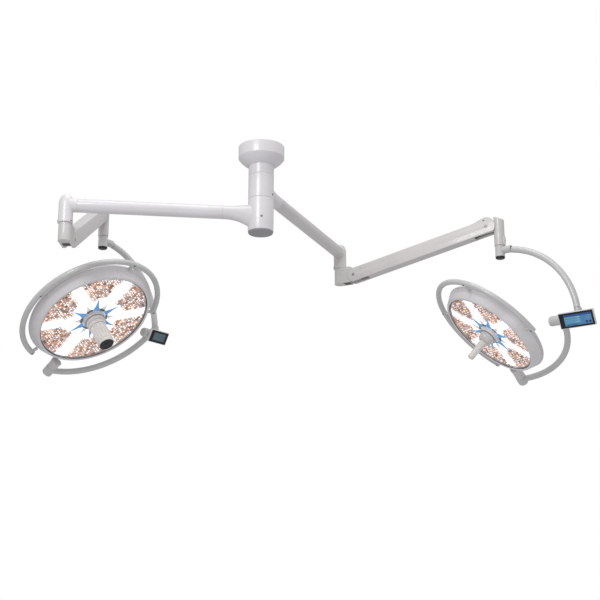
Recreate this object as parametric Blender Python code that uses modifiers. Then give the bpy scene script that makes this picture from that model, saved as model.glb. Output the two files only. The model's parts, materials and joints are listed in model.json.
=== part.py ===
"""Ceiling-mounted twin surgical light.

A ceiling column carries two independent suspensions.  Each has a horizontal
extension arm, an elbow, a counterbalanced spring arm with a parallel tie bar,
a front knuckle that stays upright, a swivel stub, an outer quarter bow, an
inner quarter bow and a round lamp head with a loop handle.

Frame: metres, +Z up.  The origin is the centre of the ceiling plate's top
face, where the light is bolted to the building.  The left suspension hangs
towards -X and the right one towards +X.
"""
import math

import bmesh
import bpy
from mathutils import Matrix, Vector

# ---------------------------------------------------------------- dimensions
COLUMN_R = 0.059            # column, hubs and collar, outside radius
COLUMN_BOTTOM = -0.424      # underside of the end cap
CANOPY_R = 0.1067
CANOPY_RIM = -0.060         # lower edge of the straight canopy wall
CANOPY_END = -0.0975        # where the canopy's cone reaches the column
HUB_SPLIT = COLUMN_BOTTOM + 0.164
COLLAR_END = COLUMN_BOTTOM + 0.2803
SPINDLE_R = 0.030
ARM_R = 0.0312              # extension arm tube
GAP = 0.0003                # air between neighbouring pieces

ELBOW_OFFSET = 0.090        # elbow swivel axis to spring arm pivot, level
ELBOW_DROP = 0.1345         # extension arm axis down to spring arm pivot
SPRING_LENGTH = 0.752       # pivot to pivot
KNUCKLE_OFFSET = 0.060      # front pivot to swivel axis, level
BOW_DROP = 0.131            # front pivot down to where the outer bow starts
TIE_OFFSET = 0.0215         # tie bar pivots below the spring arm pivots
BEAM_W = 0.058
BEAM_H = 0.070
CAVITY_W = 0.036
BOW_TUBE_R = 0.0160

SIDES = {
    # arm: height of the axis, azimuth, length.  spring: azimuth, tilt.
    # bow: azimuth of the joint axis, drop, joint radius.  head: pivot dip
    # angle, face angle, face offset, lens radius, rim radius, inner bow
    # radius, ring radius and so on.
    "left": dict(
        arm_z=COLUMN_BOTTOM + 0.0951, arm_az=3.2759, arm_len=0.8824,
        spring_az=1.5248, spring_tilt=math.radians(29.4),
        bow_az=0.890, bow_drop=0.419, joint_r=0.428, centre_back=0.037,
        dip=0.594, face=1.550, face_z=0.0136,
        lens_r=0.2815, rim_r=0.3200, inner_r=0.3900,
        ring_r=0.3580, ring_tube=0.0143, ring_z=-0.048,
        seam_r=0.368, barrel_end=0.420, cap_r=0.338,
        screen=(0.125, 0.068), screen_shift=-0.008, hub_r=0.052,
    ),
    "right": dict(
        arm_z=COLUMN_BOTTOM + 0.2129, arm_az=1.1801, arm_len=1.0124,
        spring_az=-0.4803, spring_tilt=math.radians(11.15),
        bow_az=-0.593, bow_drop=0.404, joint_r=0.448, centre_back=0.059,
        dip=0.521, face=2.054, face_z=0.0300,
        lens_r=0.2410, rim_r=0.2760, inner_r=0.3660,
        ring_r=0.3330, ring_tube=0.0135, ring_z=-0.036,
        seam_r=0.346, barrel_end=0.396, cap_r=0.302,
        screen=(0.176, 0.078), screen_shift=0.006, hub_r=0.046,
    ),
}

# ------------------------------------------------------------------- helpers
for old in list(bpy.data.objects):
    bpy.data.objects.remove(old, do_unlink=True)

PARTS = bpy.data.collections.new("surgical_light")
CUTTERS = bpy.data.collections.new("cutters")
bpy.context.scene.collection.children.link(PARTS)
bpy.context.scene.collection.children.link(CUTTERS)


def material(name, colour, roughness, metallic=0.0, alpha=1.0):
    m = bpy.data.materials.new(name)
    m.use_nodes = True
    b = m.node_tree.nodes["Principled BSDF"]
    b.inputs["Base Color"].default_value = (*colour, 1.0)
    b.inputs["Roughness"].default_value = roughness
    b.inputs["Metallic"].default_value = metallic
    b.inputs["Alpha"].default_value = alpha
    return m


WHITE = material("white_enamel", (0.83, 0.82, 0.85), 0.30)
GREY = material("pale_grey_enamel", (0.70, 0.69, 0.70), 0.34)
BOWGREY = material("bow_enamel", (0.66, 0.66, 0.67), 0.34)
STEEL = material("bright_steel", (0.62, 0.62, 0.63), 0.25, 1.0)
ALU = material("board_aluminium", (0.70, 0.70, 0.71), 0.40, 1.0)
BLACK = material("black_plastic", (0.02, 0.02, 0.022), 0.35)
GLASS = material("lens_glass", (0.95, 0.93, 0.91), 0.05, 0.0, 0.35)
SCREEN = material("screen_glass", (0.05, 0.10, 0.18), 0.10)
PLASTIC = material("pale_plastic", (0.80, 0.79, 0.80), 0.40)


def frame(origin, x, z):
    """A right-handed matrix from an origin and the directions of x and z."""
    x, z = Vector(x).normalized(), Vector(z).normalized()
    y = z.cross(x)
    m = Matrix((x, y, z)).transposed().to_4x4()
    m.translation = Vector(origin)
    return m


def place(obj, m, mat=None, coll=PARTS):
    coll.objects.link(obj)
    obj.matrix_world = m
    if mat:
        obj.data.materials.append(mat)
    if coll is CUTTERS:
        obj.hide_render = True
        obj.display_type = "WIRE"
    return obj


def smooth(obj, angle=40):
    obj.data.shade_smooth()
    obj.data.set_sharp_from_angle(angle=math.radians(angle))
    return obj


def turned(name, profile, m, mat=None, steps=32, closed=False, coll=PARTS):
    """A profile of (radius, z) from top to bottom, turned about z.

    An open profile starts and ends on the axis; a closed one is a ring.
    """
    mesh = bpy.data.meshes.new(name)
    bm = bmesh.new()
    verts = [bm.verts.new((r, 0.0, z)) for r, z in profile]
    for a, b in zip(verts, verts[1:]):
        bm.edges.new((a, b))
    if closed:
        bm.edges.new((verts[-1], verts[0]))
    bm.to_mesh(mesh)
    bm.free()
    obj = place(bpy.data.objects.new(name, mesh), m, mat, coll)
    s = obj.modifiers.new("turn", "SCREW")
    s.axis = "Z"
    s.steps = s.render_steps = steps
    s.use_merge_vertices = True
    s.merge_threshold = 0.00001
    s.use_smooth_shade = True
    return obj


def cylinder(name, r, z0, z1, m, mat=None, steps=24, coll=PARTS, r1=None):
    r1 = r if r1 is None else r1
    return turned(name, [(0, z1), (r1, z1), (r, z0), (0, z0)], m, mat, steps, coll=coll)


def drill(name, r, z0, z1, m, mat=None, steps=24, coll=CUTTERS):
    """A cutter whose flats, not its corners, lie at radius r."""
    return cylinder(name, r / math.cos(math.pi / steps), z0, z1, m, mat, steps, coll)


def ring(name, r0, r1, z0, z1, m, mat=None, steps=32, coll=PARTS):
    return turned(name, [(r0, z1), (r1, z1), (r1, z0), (r0, z0)], m, mat, steps, True, coll)


def box(name, low, high, m, mat=None, coll=PARTS, bevel=0.0, segments=2):
    mesh = bpy.data.meshes.new(name)
    bm = bmesh.new()
    bmesh.ops.create_cube(bm, size=1.0)
    low, high = Vector(low), Vector(high)
    for v in bm.verts:
        v.co = Vector([(low[i] + high[i]) / 2 + v.co[i] * (high[i] - low[i]) for i in range(3)])
    bm.to_mesh(mesh)
    bm.free()
    obj = place(bpy.data.objects.new(name, mesh), m, mat, coll)
    if bevel:
        b = obj.modifiers.new("round", "BEVEL")
        b.width = bevel
        b.segments = segments
        b.limit_method = "ANGLE"
        b.angle_limit = math.radians(50)
    return obj


def to_mesh(curve_obj, name, m, mat, coll):
    """Turn an evaluated curve into a welded mesh object."""
    deps = bpy.context.evaluated_depsgraph_get()
    deps.update()
    mesh = bpy.data.meshes.new_from_object(curve_obj.evaluated_get(deps))
    bm = bmesh.new()
    bm.from_mesh(mesh)
    bmesh.ops.remove_doubles(bm, verts=bm.verts, dist=0.00001)
    bmesh.ops.recalc_face_normals(bm, faces=bm.faces)
    bm.to_mesh(mesh)
    bm.free()
    mesh.materials.clear()
    bpy.data.objects.remove(curve_obj, do_unlink=True)
    mesh.name = name
    return place(bpy.data.objects.new(name, mesh), m, mat, coll)


def plate(name, outline, half, m, mat=None, coll=PARTS):
    """A flat outline in x, y, extruded by half its thickness along +-z."""
    cu = bpy.data.curves.new(name + "_outline", "CURVE")
    cu.dimensions = "2D"
    cu.fill_mode = "BOTH"
    cu.extrude = half
    sp = cu.splines.new("POLY")
    sp.points.add(len(outline) - 1)
    for p, (x, y) in zip(sp.points, outline):
        p.co = (x, y, 0, 1)
    sp.use_cyclic_u = True
    ob = bpy.data.objects.new(name + "_outline", cu)
    CUTTERS.objects.link(ob)
    return to_mesh(ob, name, m, mat, coll)


def tube(name, points, r, m, mat=None, coll=PARTS, mesh=False, res=2):
    cu = bpy.data.curves.new(name + ("_path" if mesh else ""), "CURVE")
    cu.dimensions = "3D"
    cu.bevel_depth = r
    cu.bevel_resolution = res
    cu.resolution_u = 1
    cu.render_resolution_u = 0
    cu.use_fill_caps = True
    sp = cu.splines.new("POLY")
    sp.points.add(len(points) - 1)
    for p, co in zip(sp.points, points):
        p.co = (*co, 1)
    ob = bpy.data.objects.new(name + ("_path" if mesh else ""), cu)
    if mesh:
        CUTTERS.objects.link(ob)
        return to_mesh(ob, name, m, mat, coll)
    return place(ob, m, mat, coll)


def combine(obj, other, op="DIFFERENCE"):
    b = obj.modifiers.new(op.lower(), "BOOLEAN")
    b.operation = op
    b.solver = "EXACT"
    b.object = other
    return obj


def arc(cx, cy, r, a0, a1, n):
    """n+1 points of an arc; the angles are in degrees."""
    return [
        (cx + r * math.cos(math.radians(a0 + (a1 - a0) * i / n)),
         cy + r * math.sin(math.radians(a0 + (a1 - a0) * i / n)))
        for i in range(n + 1)
    ]


Z = Vector((0, 0, 1))
WORLD = Matrix.Identity(4)
TURN_Y = Matrix.Rotation(math.radians(-90), 4, "X")   # local z becomes +y
TURN_X = Matrix.Rotation(math.radians(90), 4, "Y")    # local z becomes +x
# plates that stand in the x, z plane: local x stays x, local y becomes z
UPRIGHT = Matrix.Rotation(math.radians(90), 4, "X")

# -------------------------------------------------------------------- column
cylinder("ceiling_plate", 0.100, -0.012, 0.0, WORLD, STEEL, 28)

turned("canopy_cover", [
    (0.1023, -0.0006), (CANOPY_R, -0.0006), (CANOPY_R, CANOPY_RIM + 0.003),
    (0.094, CANOPY_RIM - 0.0125), (0.078, CANOPY_RIM - 0.0260),
    (COLUMN_R + GAP, CANOPY_END), (COLUMN_R + GAP, CANOPY_END + 0.004),
    (0.077, CANOPY_RIM - 0.0215), (0.1023, CANOPY_RIM + 0.003),
], WORLD, WHITE, 28, closed=True)

# Drop tube: flange under the plate, a collar flush with the hubs, and the
# spindle that both hubs turn on.
turned("drop_tube", [
    (0.022, -0.0123), (0.080, -0.0123), (0.080, -0.0200), (COLUMN_R, -0.0200),
    (COLUMN_R, COLLAR_END), (SPINDLE_R, COLLAR_END),
    (SPINDLE_R, COLUMN_BOTTOM + 0.0073), (0.022, COLUMN_BOTTOM + 0.0073),
], WORLD, WHITE, 28, closed=True)

turned("end_cap", [
    (0, COLUMN_BOTTOM + 0.0070), (0.0570, COLUMN_BOTTOM + 0.0070),
    (0.0570, COLUMN_BOTTOM + 0.0020), (0.0548, COLUMN_BOTTOM),
    (0, COLUMN_BOTTOM),
], WORLD, PLASTIC, 28)


def flare(name, m, top, bottom):
    """The arm's root: rings that grow from the tube to the height of the hub."""
    n, rows = 16, 6
    bm = bmesh.new()
    loops = []
    for k in range(rows):
        t = k / (rows - 1)
        x = 0.176 + (0.030 - 0.176) * t
        grow = t ** 2.4
        up = ARM_R + (top - ARM_R) * grow
        down = ARM_R + (bottom - ARM_R) * grow
        wide = ARM_R + (0.042 - ARM_R) * grow
        loop = []
        for i in range(n):
            a = 2 * math.pi * i / n
            c, s = math.cos(a), math.sin(a)
            loop.append(bm.verts.new((x, wide * c, (up if s > 0 else down) * s)))
        loops.append(loop)
    for a, b in zip(loops, loops[1:]):
        for i in range(n):
            bm.faces.new((a[i], b[i], b[(i + 1) % n], a[(i + 1) % n]))
    bm.faces.new(loops[0])
    bm.faces.new(loops[-1])
    bmesh.ops.recalc_face_normals(bm, faces=bm.faces)
    mesh = bpy.data.meshes.new(name)
    bm.to_mesh(mesh)
    bm.free()
    return place(bpy.data.objects.new(name, mesh), m, coll=CUTTERS)


def suspension(side, p):
    s = "_" + side
    tint = WHITE if side == "left" else GREY
    # ------------------------------------------------------- extension arm
    ax = Vector((math.cos(p["arm_az"]), math.sin(p["arm_az"]), 0))
    A = frame((0, 0, p["arm_z"]), ax, Z)
    if side == "left":
        z0, z1, top, bottom = COLUMN_BOTTOM + 0.0073, HUB_SPLIT - GAP, 0.046, 0.084
    else:
        z0, z1, top, bottom = HUB_SPLIT + GAP, COLLAR_END - GAP, 0.050, 0.046
    bore = SPINDLE_R + GAP                       # running bore, relieved between its ends
    hub = turned("arm_hub" + s, [
        (bore, z1), (COLUMN_R, z1), (COLUMN_R, z0), (bore, z0), (bore, z0 + 0.014),
        (0.0500, z0 + 0.018), (0.0500, z1 - 0.018), (bore, z1 - 0.014),
    ], WORLD, WHITE, 28, closed=True)
    root = flare("root" + s, A, top, bottom)
    combine(root, drill("root_bore" + s, 0.0530, -0.5, 0.5, frame((0, 0, 0), ax, Z), steps=28, coll=CUTTERS))
    combine(root, drill("root_socket" + s, 0.0243, 0.085, 0.2, A @ TURN_X, steps=16, coll=CUTTERS))
    if side == "left":
        combine(root, box("root_floor" + s, (-0.3, -0.1, -0.2), (0.3, 0.1, z0 - p["arm_z"]), A, coll=CUTTERS))
        combine(root, box("root_roof" + s, (-0.3, -0.1, z1 - p["arm_z"]), (0.3, 0.1, 0.2), A, coll=CUTTERS))
    combine(hub, root, "UNION")

    L = p["arm_len"]
    turned("arm_tube" + s, [
        (0.0200, L - 0.036), (0.0240, L - 0.036), (0.0240, L - 0.0503),
        (ARM_R, L - 0.0503), (ARM_R, 0.1763), (0.0240, 0.1763),
        (0.0240, 0.100), (0.0200, 0.100),
    ], A @ TURN_X, tint, 20, closed=True)

    K = ax * L + Vector((0, 0, p["arm_z"]))
    KN = frame(K, ax, Z)
    knuckle = turned("arm_knuckle" + s, [
        (0, 0.0480), (0.0120, 0.0470), (0.0215, 0.0415), (0.0292, 0.0290),
        (0.0330, 0.0120), (0.0330, -0.0640), (0.0346, -0.0740),
        (0.0346, -0.0868), (0, -0.0868),
    ], KN, tint, 20)
    combine(knuckle, cylinder("knuckle_boss" + s, 0.0315, -0.0500, 0.0, KN @ TURN_X, steps=14, coll=CUTTERS), "UNION")
    combine(knuckle, drill("knuckle_socket" + s, 0.0243, -0.0600, -0.0355, KN @ TURN_X, steps=16, coll=CUTTERS))
    combine(knuckle, drill("knuckle_bore" + s, 0.0165, -0.1000, -0.0340, KN, steps=16, coll=CUTTERS))

    # --------------------------------------------------------------- elbow
    hx = Vector((math.cos(p["spring_az"]), math.sin(p["spring_az"]), 0))
    pivot_a = K + hx * ELBOW_OFFSET - Z * ELBOW_DROP
    E = frame(pivot_a, hx, Z)
    ek = -ELBOW_OFFSET
    zt, zb = ELBOW_DROP - 0.0874, -0.0375
    outline = arc(ek, 0, 0.0288, 90, 270, 8) + [(-0.0200, -0.0288), (-0.0200, 0.0288)]
    mid = Matrix.Translation((0, 0, (zt + zb) / 2))
    house = plate("elbow_housing" + s, outline, (zt - zb) / 2, E @ mid, GREY)
    b = house.modifiers.new("edge", "BEVEL")
    b.width, b.segments, b.limit_method, b.angle_limit = 0.0045, 1, "ANGLE", math.radians(60)
    combine(house, drill("house_hollow" + s, 0.0386, -0.05, 0.05, E @ TURN_Y, steps=28, coll=CUTTERS))
    tongue = plate("tongue" + s, [(-0.060, -0.020), (-0.060, 0.020)] + arc(0, 0, 0.0270, 75, -75, 8),
                   0.0088, E @ UPRIGHT, coll=CUTTERS)
    combine(house, tongue, "UNION")
    combine(house, cylinder("tie_peg" + s, 0.0034, 0.0, 0.0147, E @ Matrix.Translation((0, 0, -TIE_OFFSET)) @ TURN_Y, steps=8, coll=CUTTERS), "UNION")
    combine(house, drill("house_pin_hole" + s, 0.0083, -0.05, 0.05, E @ TURN_Y, steps=14, coll=CUTTERS))
    combine(house, drill("house_swivel_hole" + s, 0.0163, zt - 0.030, zt + 0.01, E @ Matrix.Translation((ek, 0, 0)), steps=24, coll=CUTTERS))
    cylinder("elbow_pin" + s, 0.0160, zt - 0.0295, zt + 0.0500, E @ Matrix.Translation((ek, 0, 0)), STEEL, 12)

    # ---------------------------------------------------------- spring arm
    g = p["spring_tilt"]
    bx = hx * math.cos(g) + Z * math.sin(g)
    bz = Z * math.cos(g) - hx * math.sin(g)
    B = frame(pivot_a, bx, bz)
    SL, hh = SPRING_LENGTH, BEAM_H / 2
    outline = (
        [(0.016, -hh)] + [(SL + 0.0313, -hh)] + arc(SL, 0, 0.0470, -42, 108, 12)
        + [(SL - 0.030, 0.0425), (SL - 0.045, 0.0385), (SL - 0.062, 0.0357), (SL - 0.080, hh)]
        + [(0.016, hh)] + arc(0, 0, 0.0380, 112, 248, 10)
    )
    beam = plate("spring_arm" + s, outline, BEAM_W / 2, B @ UPRIGHT, GREY)
    b = beam.modifiers.new("edge", "BEVEL")
    b.width, b.segments, b.limit_method, b.angle_limit = 0.0050, 1, "ANGLE", math.radians(60)
    combine(beam, box("beam_hollow" + s, (0.033, -CAVITY_W / 2, -0.08), (SL - 0.040, CAVITY_W / 2, 0.0300), B, coll=CUTTERS))
    combine(beam, box("beam_rear_slot" + s, (-0.08, -0.0152, -0.08), (0.034, 0.0152, 0.08), B, coll=CUTTERS))
    combine(beam, box("beam_front_slot" + s, (SL - 0.041, -0.0152, -0.08), (SL + 0.08, 0.0152, 0.0300), B, coll=CUTTERS))
    combine(beam, box("beam_nose_slot" + s, (SL - 0.0040, -0.0152, 0.0200), (SL + 0.08, 0.0152, 0.0800), B, coll=CUTTERS))
    combine(beam, drill("beam_rear_hole" + s, 0.0083, -0.05, 0.05, B @ TURN_Y, steps=14, coll=CUTTERS))
    front = B @ Matrix.Translation((SL, 0, 0))
    combine(beam, drill("beam_front_hole" + s, 0.0083, -0.05, 0.05, front @ TURN_Y, steps=14, coll=CUTTERS))
    cylinder("spring_pin_rear" + s, 0.0080, -0.0300, 0.0300, B @ TURN_Y, STEEL, 14)
    cylinder("spring_pin_front" + s, 0.0080, -0.0300, 0.0300, front @ TURN_Y, STEEL, 14)
    box("spring_arm_cover" + s, (0.075, -CAVITY_W / 2 + GAP, -hh), (SL - 0.075, CAVITY_W / 2 - GAP, -hh + 0.004), B, GREY)
    cylinder("spring_pack" + s, 0.0120, 0.110, 0.620, B @ Matrix.Translation((0, 0, 0.012)) @ TURN_X, STEEL, 12)

    # ------------------------------------------------------------- tie bar
    T = frame(pivot_a - Z * TIE_OFFSET, bx, bz)
    bar = plate("tie_bar" + s, arc(SL, 0, 0.0065, -90, 90, 6) + arc(0, 0, 0.0065, 90, 270, 6), 0.0022,
                T @ UPRIGHT @ Matrix.Translation((0, 0, -0.0118)), STEEL)
    for i, x in enumerate((0.0, SL)):
        combine(bar, drill("tie_hole_%d" % i + s, 0.0037, 0.0, 0.03, T @ Matrix.Translation((x, 0, 0)) @ TURN_Y, steps=8, coll=CUTTERS))

    # ------------------------------------------------------- front knuckle
    pivot_b = pivot_a + bx * SL
    F = frame(pivot_b, hx, Z)
    V = frame(pivot_b + hx * KNUCKLE_OFFSET, hx, Z)
    post = cylinder("front_knuckle" + s, 0.0262, -0.1062, 0.0500, V, GREY, 20)
    combine(post, box("post_slope" + s, (-0.08, -0.08, 0.0), (0.08, 0.08, 0.08),
                      V @ Matrix.Translation((-0.026, 0, 0.0480)) @ Matrix.Rotation(math.radians(22), 4, "Y"), coll=CUTTERS))
    combine(post, drill("post_hollow" + s, 0.0475, -0.06, 0.06, F @ TURN_Y, steps=28, coll=CUTTERS))
    lug = plate("lug" + s, [(0.060, -0.020), (0.060, 0.020)] + arc(0, 0, 0.0270, 105, 255, 8),
                0.0088, F @ UPRIGHT, coll=CUTTERS)
    combine(post, lug, "UNION")
    combine(post, cylinder("lug_peg" + s, 0.0034, 0.0, 0.0147, F @ Matrix.Translation((0, 0, -TIE_OFFSET)) @ TURN_Y, steps=8, coll=CUTTERS), "UNION")
    combine(post, drill("lug_hole" + s, 0.0083, -0.05, 0.05, F @ TURN_Y, steps=14, coll=CUTTERS))
    combine(post, box("brake_boss" + s, (0.015, -0.0100, -0.1062), (0.0300, 0.0100, -0.0560), V, coll=CUTTERS, bevel=0.004), "UNION")
    combine(post, drill("post_bore" + s, 0.0123, -0.12, -0.060, V, steps=14, coll=CUTTERS))

    # ------------------------------------------- swivel stub and outer bow
    swivel = pivot_b + hx * KNUCKLE_OFFSET - Z * BOW_DROP
    jx = Vector((math.cos(p["bow_az"]), math.sin(p["bow_az"]), 0))
    S = frame(swivel, jx, Z)
    stub = turned("swivel_stub" + s, [
        (0, 0.0600), (0.0120, 0.0600), (0.0120, 0.0240), (0.0238, 0.0240),
        (0.0238, -0.0260), (0.0246, -0.0290), (0.0246, -0.0330), (0, -0.0330),
    ], S, BOWGREY, 20)
    combine(stub, cylinder("stub_socket" + s, 0.0185, 0.0, 0.0620, S @ TURN_X, steps=16, coll=CUTTERS), "UNION")
    combine(stub, drill("stub_hole" + s, 0.0125, 0.0400, 0.0700, S @ TURN_X, steps=14, coll=CUTTERS))
    turned("stub_cap" + s, [(0, -0.0333), (0.0232, -0.0333), (0.0232, -0.0400), (0.0180, -0.0430), (0, -0.0440)], S, BLACK, 20)

    reach = p["joint_r"] - p["centre_back"]      # swivel axis to joint centre
    drop = p["bow_drop"]
    n = 13
    start = math.asin(0.0662 / reach)
    end = math.acos(0.0480 / drop)
    path = []
    for i in range(n + 1):
        t = start + (end - start) * i / n
        path.append((reach * math.sin(t), 0, drop * (math.cos(t) - 1)))
    tube("outer_bow" + s, path, BOW_TUBE_R, S, BOWGREY)
    J = frame(swivel + jx * reach - Z * drop, jx, Z)   # on the joint axis
    inward = min(0.0240, p["joint_r"] - p["inner_r"] - 0.0188)
    block = cylinder("joint_block" + s, 0.0250, -inward, 0.0300, J @ TURN_X, BOWGREY, 18)
    combine(block, cylinder("joint_sleeve" + s, 0.0190, 0.0, 0.0450, J, steps=14, coll=CUTTERS), "UNION")

    # Control screen in front of the joint, leaning back over the surgeon.
    hv = Z.cross(jx)
    lean = math.radians(27.5)
    normal = -hv * math.cos(lean) - Z * math.sin(lean)
    up = Z * math.cos(lean) - hv * math.sin(lean)
    w, h = p["screen"]
    centre = swivel + jx * (reach + p["screen_shift"]) - Z * drop + normal * 0.0270
    D = frame(centre, up.cross(normal), normal)
    case = box("screen_case" + s, (-w / 2, -h / 2, 0.0), (w / 2, h / 2, 0.0160), D, PLASTIC, bevel=0.003)
    combine(case, box("screen_recess" + s, (-w / 2 + 0.003, -h / 2 + 0.003, 0.0110), (w / 2 - 0.003, h / 2 - 0.003, 0.03), D, coll=CUTTERS))
    box("screen_panel" + s, (-w / 2 + 0.0033, -h / 2 + 0.0033, 0.0113), (w / 2 - 0.0033, h / 2 - 0.0033, 0.0168), D, SCREEN)

    # ---------------------------------------------------------- inner bow
    G = swivel + jx * (reach - p["joint_r"]) - Z * drop
    pd = hv * math.cos(p["dip"]) - Z * math.sin(p["dip"])
    I = frame(G, jx, jx.cross(pd))               # y runs along the head pivot
    n = 13
    R2 = p["inner_r"]
    path = [(R2 * math.cos(t), R2 * math.sin(t), 0) for t in
            [math.radians(1.0 + 88.0 * i / n) for i in range(n + 1)]]
    bow = tube("inner_bow" + s, path, 0.0155, I, BOWGREY, mesh=True)
    barrel = turned("joint_barrel" + s, [
        (0, p["joint_r"] - inward - 0.0004), (0.0240, p["joint_r"] - inward - 0.0004), (0.0240, p["cap_r"] + 0.010),
        (0.0215, p["cap_r"] + 0.003), (0.0150, p["cap_r"]), (0, p["cap_r"] - 0.0005),
    ], I @ TURN_X, steps=18, coll=CUTTERS)
    combine(bow, barrel, "UNION")
    cup = turned("pivot_cup" + s, [
        (0, p["barrel_end"]), (0.0170, p["barrel_end"] - 0.0010), (0.0240, p["barrel_end"] - 0.0050),
        (0.0262, p["barrel_end"] - 0.0120), (0.0262, p["seam_r"] + GAP), (0, p["seam_r"] + GAP),
    ], I @ TURN_Y, steps=18, coll=CUTTERS)
    combine(bow, cup, "UNION")
    combine(bow, drill("pivot_cup_bore" + s, 0.0103, p["seam_r"] - 0.02, p["barrel_end"] - 0.012, I @ TURN_Y, steps=14, coll=CUTTERS))

    # ------------------------------------------------------------ lamp head
    q = pd.cross(jx)
    nrm = jx * math.cos(p["face"]) + q * math.sin(p["face"])
    H = frame(G, pd, nrm)                        # x along the pivot, z out of the lens
    zf, Rr, Rl, hub_r = p["face_z"], p["rim_r"], p["lens_r"], p["hub_r"]
    turned("head_shell" + s, [
        (Rr + 0.0010, zf - 0.0504), (Rr + 0.0030, zf - 0.0530), (Rr + 0.0030, zf - 0.0590),
        (Rr - 0.0140, zf - 0.0760), (Rr * 0.78, zf - 0.0885), (Rr * 0.60, zf - 0.0945), (0, zf - 0.1020),
    ] + [
        (0, zf - 0.0980), (Rr * 0.60, zf - 0.0900), (Rr * 0.78, zf - 0.0840), (Rr - 0.0170, zf - 0.0715),
        (Rr - 0.0040, zf - 0.0585), (Rr - 0.0030, zf - 0.0504), (Rr + 0.0010, zf - 0.0504),
    ], H, GREY, 28)
    turned("head_bezel" + s, [
        (Rl + 0.0015, zf - 0.0012), (Rl + 0.0034, zf), (Rl + 0.0130, zf), (Rl + 0.0170, zf - 0.0060),
        (Rr - 0.0030, zf - 0.0400), (Rr + 0.0008, zf - 0.0480), (Rr + 0.0008, zf - 0.0500),
        (Rr - 0.0040, zf - 0.0500), (Rl + 0.0140, zf - 0.0130), (Rl + 0.0015, zf - 0.0130),
    ], H, GREY, 28, closed=True)
    ring("head_lens" + s, hub_r + 0.0010, Rl, zf - 0.0075, zf - 0.0035, H, GLASS, 28)
    ring("led_board" + s, 0.0330, Rl + 0.004, zf - 0.0480, zf - 0.0450, H, ALU, 20)
    turned("head_hub" + s, [
        (0.0200, zf + 0.0080), (hub_r - 0.006, zf + 0.0080), (hub_r, zf + 0.0030), (hub_r, zf - 0.0120),
        (0.0325, zf - 0.0260), (0.0325, zf - 0.0700), (0.0200, zf - 0.0700),
    ], H, PLASTIC, 20, closed=True)
    # trunnion between the head's rim and the inner bow
    tr = turned("head_trunnion" + s, [
        (0, p["barrel_end"] - 0.0140), (0.0100, p["barrel_end"] - 0.0140), (0.0100, p["seam_r"] - GAP),
        (0.0255, p["seam_r"] - GAP), (0.0255, p["seam_r"] - 0.0300), (0.0275, Rr + 0.0120),
        (0.0275, Rr - 0.0200), (0, Rr - 0.0200),
    ], H @ TURN_X, GREY, 18)
    combine(tr, drill("trunnion_seat" + s, Rr + 0.0034, -0.1, 0.1, H, steps=56, coll=CUTTERS))
    # loop handle: an open ring with four welded struts
    rr, rz, rt = p["ring_r"], zf + p["ring_z"], p["ring_tube"]
    a0, a1, n = -23.0, -253.0, 22
    loop = tube("loop_handle" + s, [
        (rr * math.cos(math.radians(a0 + (a1 - a0) * i / n)), rr * math.sin(math.radians(a0 + (a1 - a0) * i / n)), rz)
        for i in range(n + 1)], rt, H, BOWGREY, mesh=True)
    for i, a in enumerate((-24.5, -95.0, -180.0, -251.5)):
        strut = cylinder("strut_%d" % i + s, 0.0085, Rr + 0.0045, rr, H @ Matrix.Rotation(math.radians(a), 4, "Z")
                         @ Matrix.Translation((0, 0, rz)) @ TURN_X, steps=8, coll=CUTTERS)
        combine(loop, strut, "UNION")

    # ------------------------------------------------- centre of the head
    if side == "left":
        turned("camera_body" + s, [
            (0.0160, zf + 0.1690), (0.0375, zf + 0.1690), (0.0415, zf + 0.1630), (0.0420, zf + 0.1480),
            (0.0400, zf + 0.1460), (0.0400, zf + 0.0500), (0.0440, zf + 0.0480), (0.0440, zf + 0.0330),
            (0.0410, zf + 0.0310), (0.0410, zf + 0.0260), (0.0480, zf + 0.0240), (0.0480, zf + 0.0083),
            (0.0190, zf + 0.0083), (0.0190, zf - 0.0500), (0.0160, zf - 0.0500),
        ], H, PLASTIC, 20, closed=True)
        turned("camera_window" + s, [(0, zf + 0.1710), (0.0140, zf + 0.1705), (0.0157, zf + 0.1680), (0.0157, zf + 0.1490), (0, zf + 0.1490)], H, BLACK, 16)
    else:
        turned("grip_base" + s, [
            (0, zf + 0.0480), (0.0200, zf + 0.0476), (0.0300, zf + 0.0420), (0.0362, zf + 0.0280),
            (0.0378, zf + 0.0083), (0.0190, zf + 0.0083), (0.0190, zf - 0.0500), (0, zf - 0.0500),
        ], H, PLASTIC, 20)
        turned("sterile_handle" + s, [
            (0, zf + 0.1560), (0.0118, zf + 0.1550), (0.0158, zf + 0.1500), (0.0164, zf + 0.1340),
            (0.0146, zf + 0.1322), (0.0146, zf + 0.1282), (0.0164, zf + 0.1262), (0.0156, zf + 0.0900),
            (0.0176, zf + 0.0560), (0.0188, zf + 0.0484), (0, zf + 0.0484),
        ], H, PLASTIC, 16)


for name, values in SIDES.items():
    suspension(name, values)

bpy.context.view_layer.update()
for ob in PARTS.objects:
    if ob.type == "MESH":
        smooth(ob)
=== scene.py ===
"""Looks of the ceiling surgical light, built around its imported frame."""

import json
import math
import random

import bmesh
import bpy
from mathutils import Matrix, Vector

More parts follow.
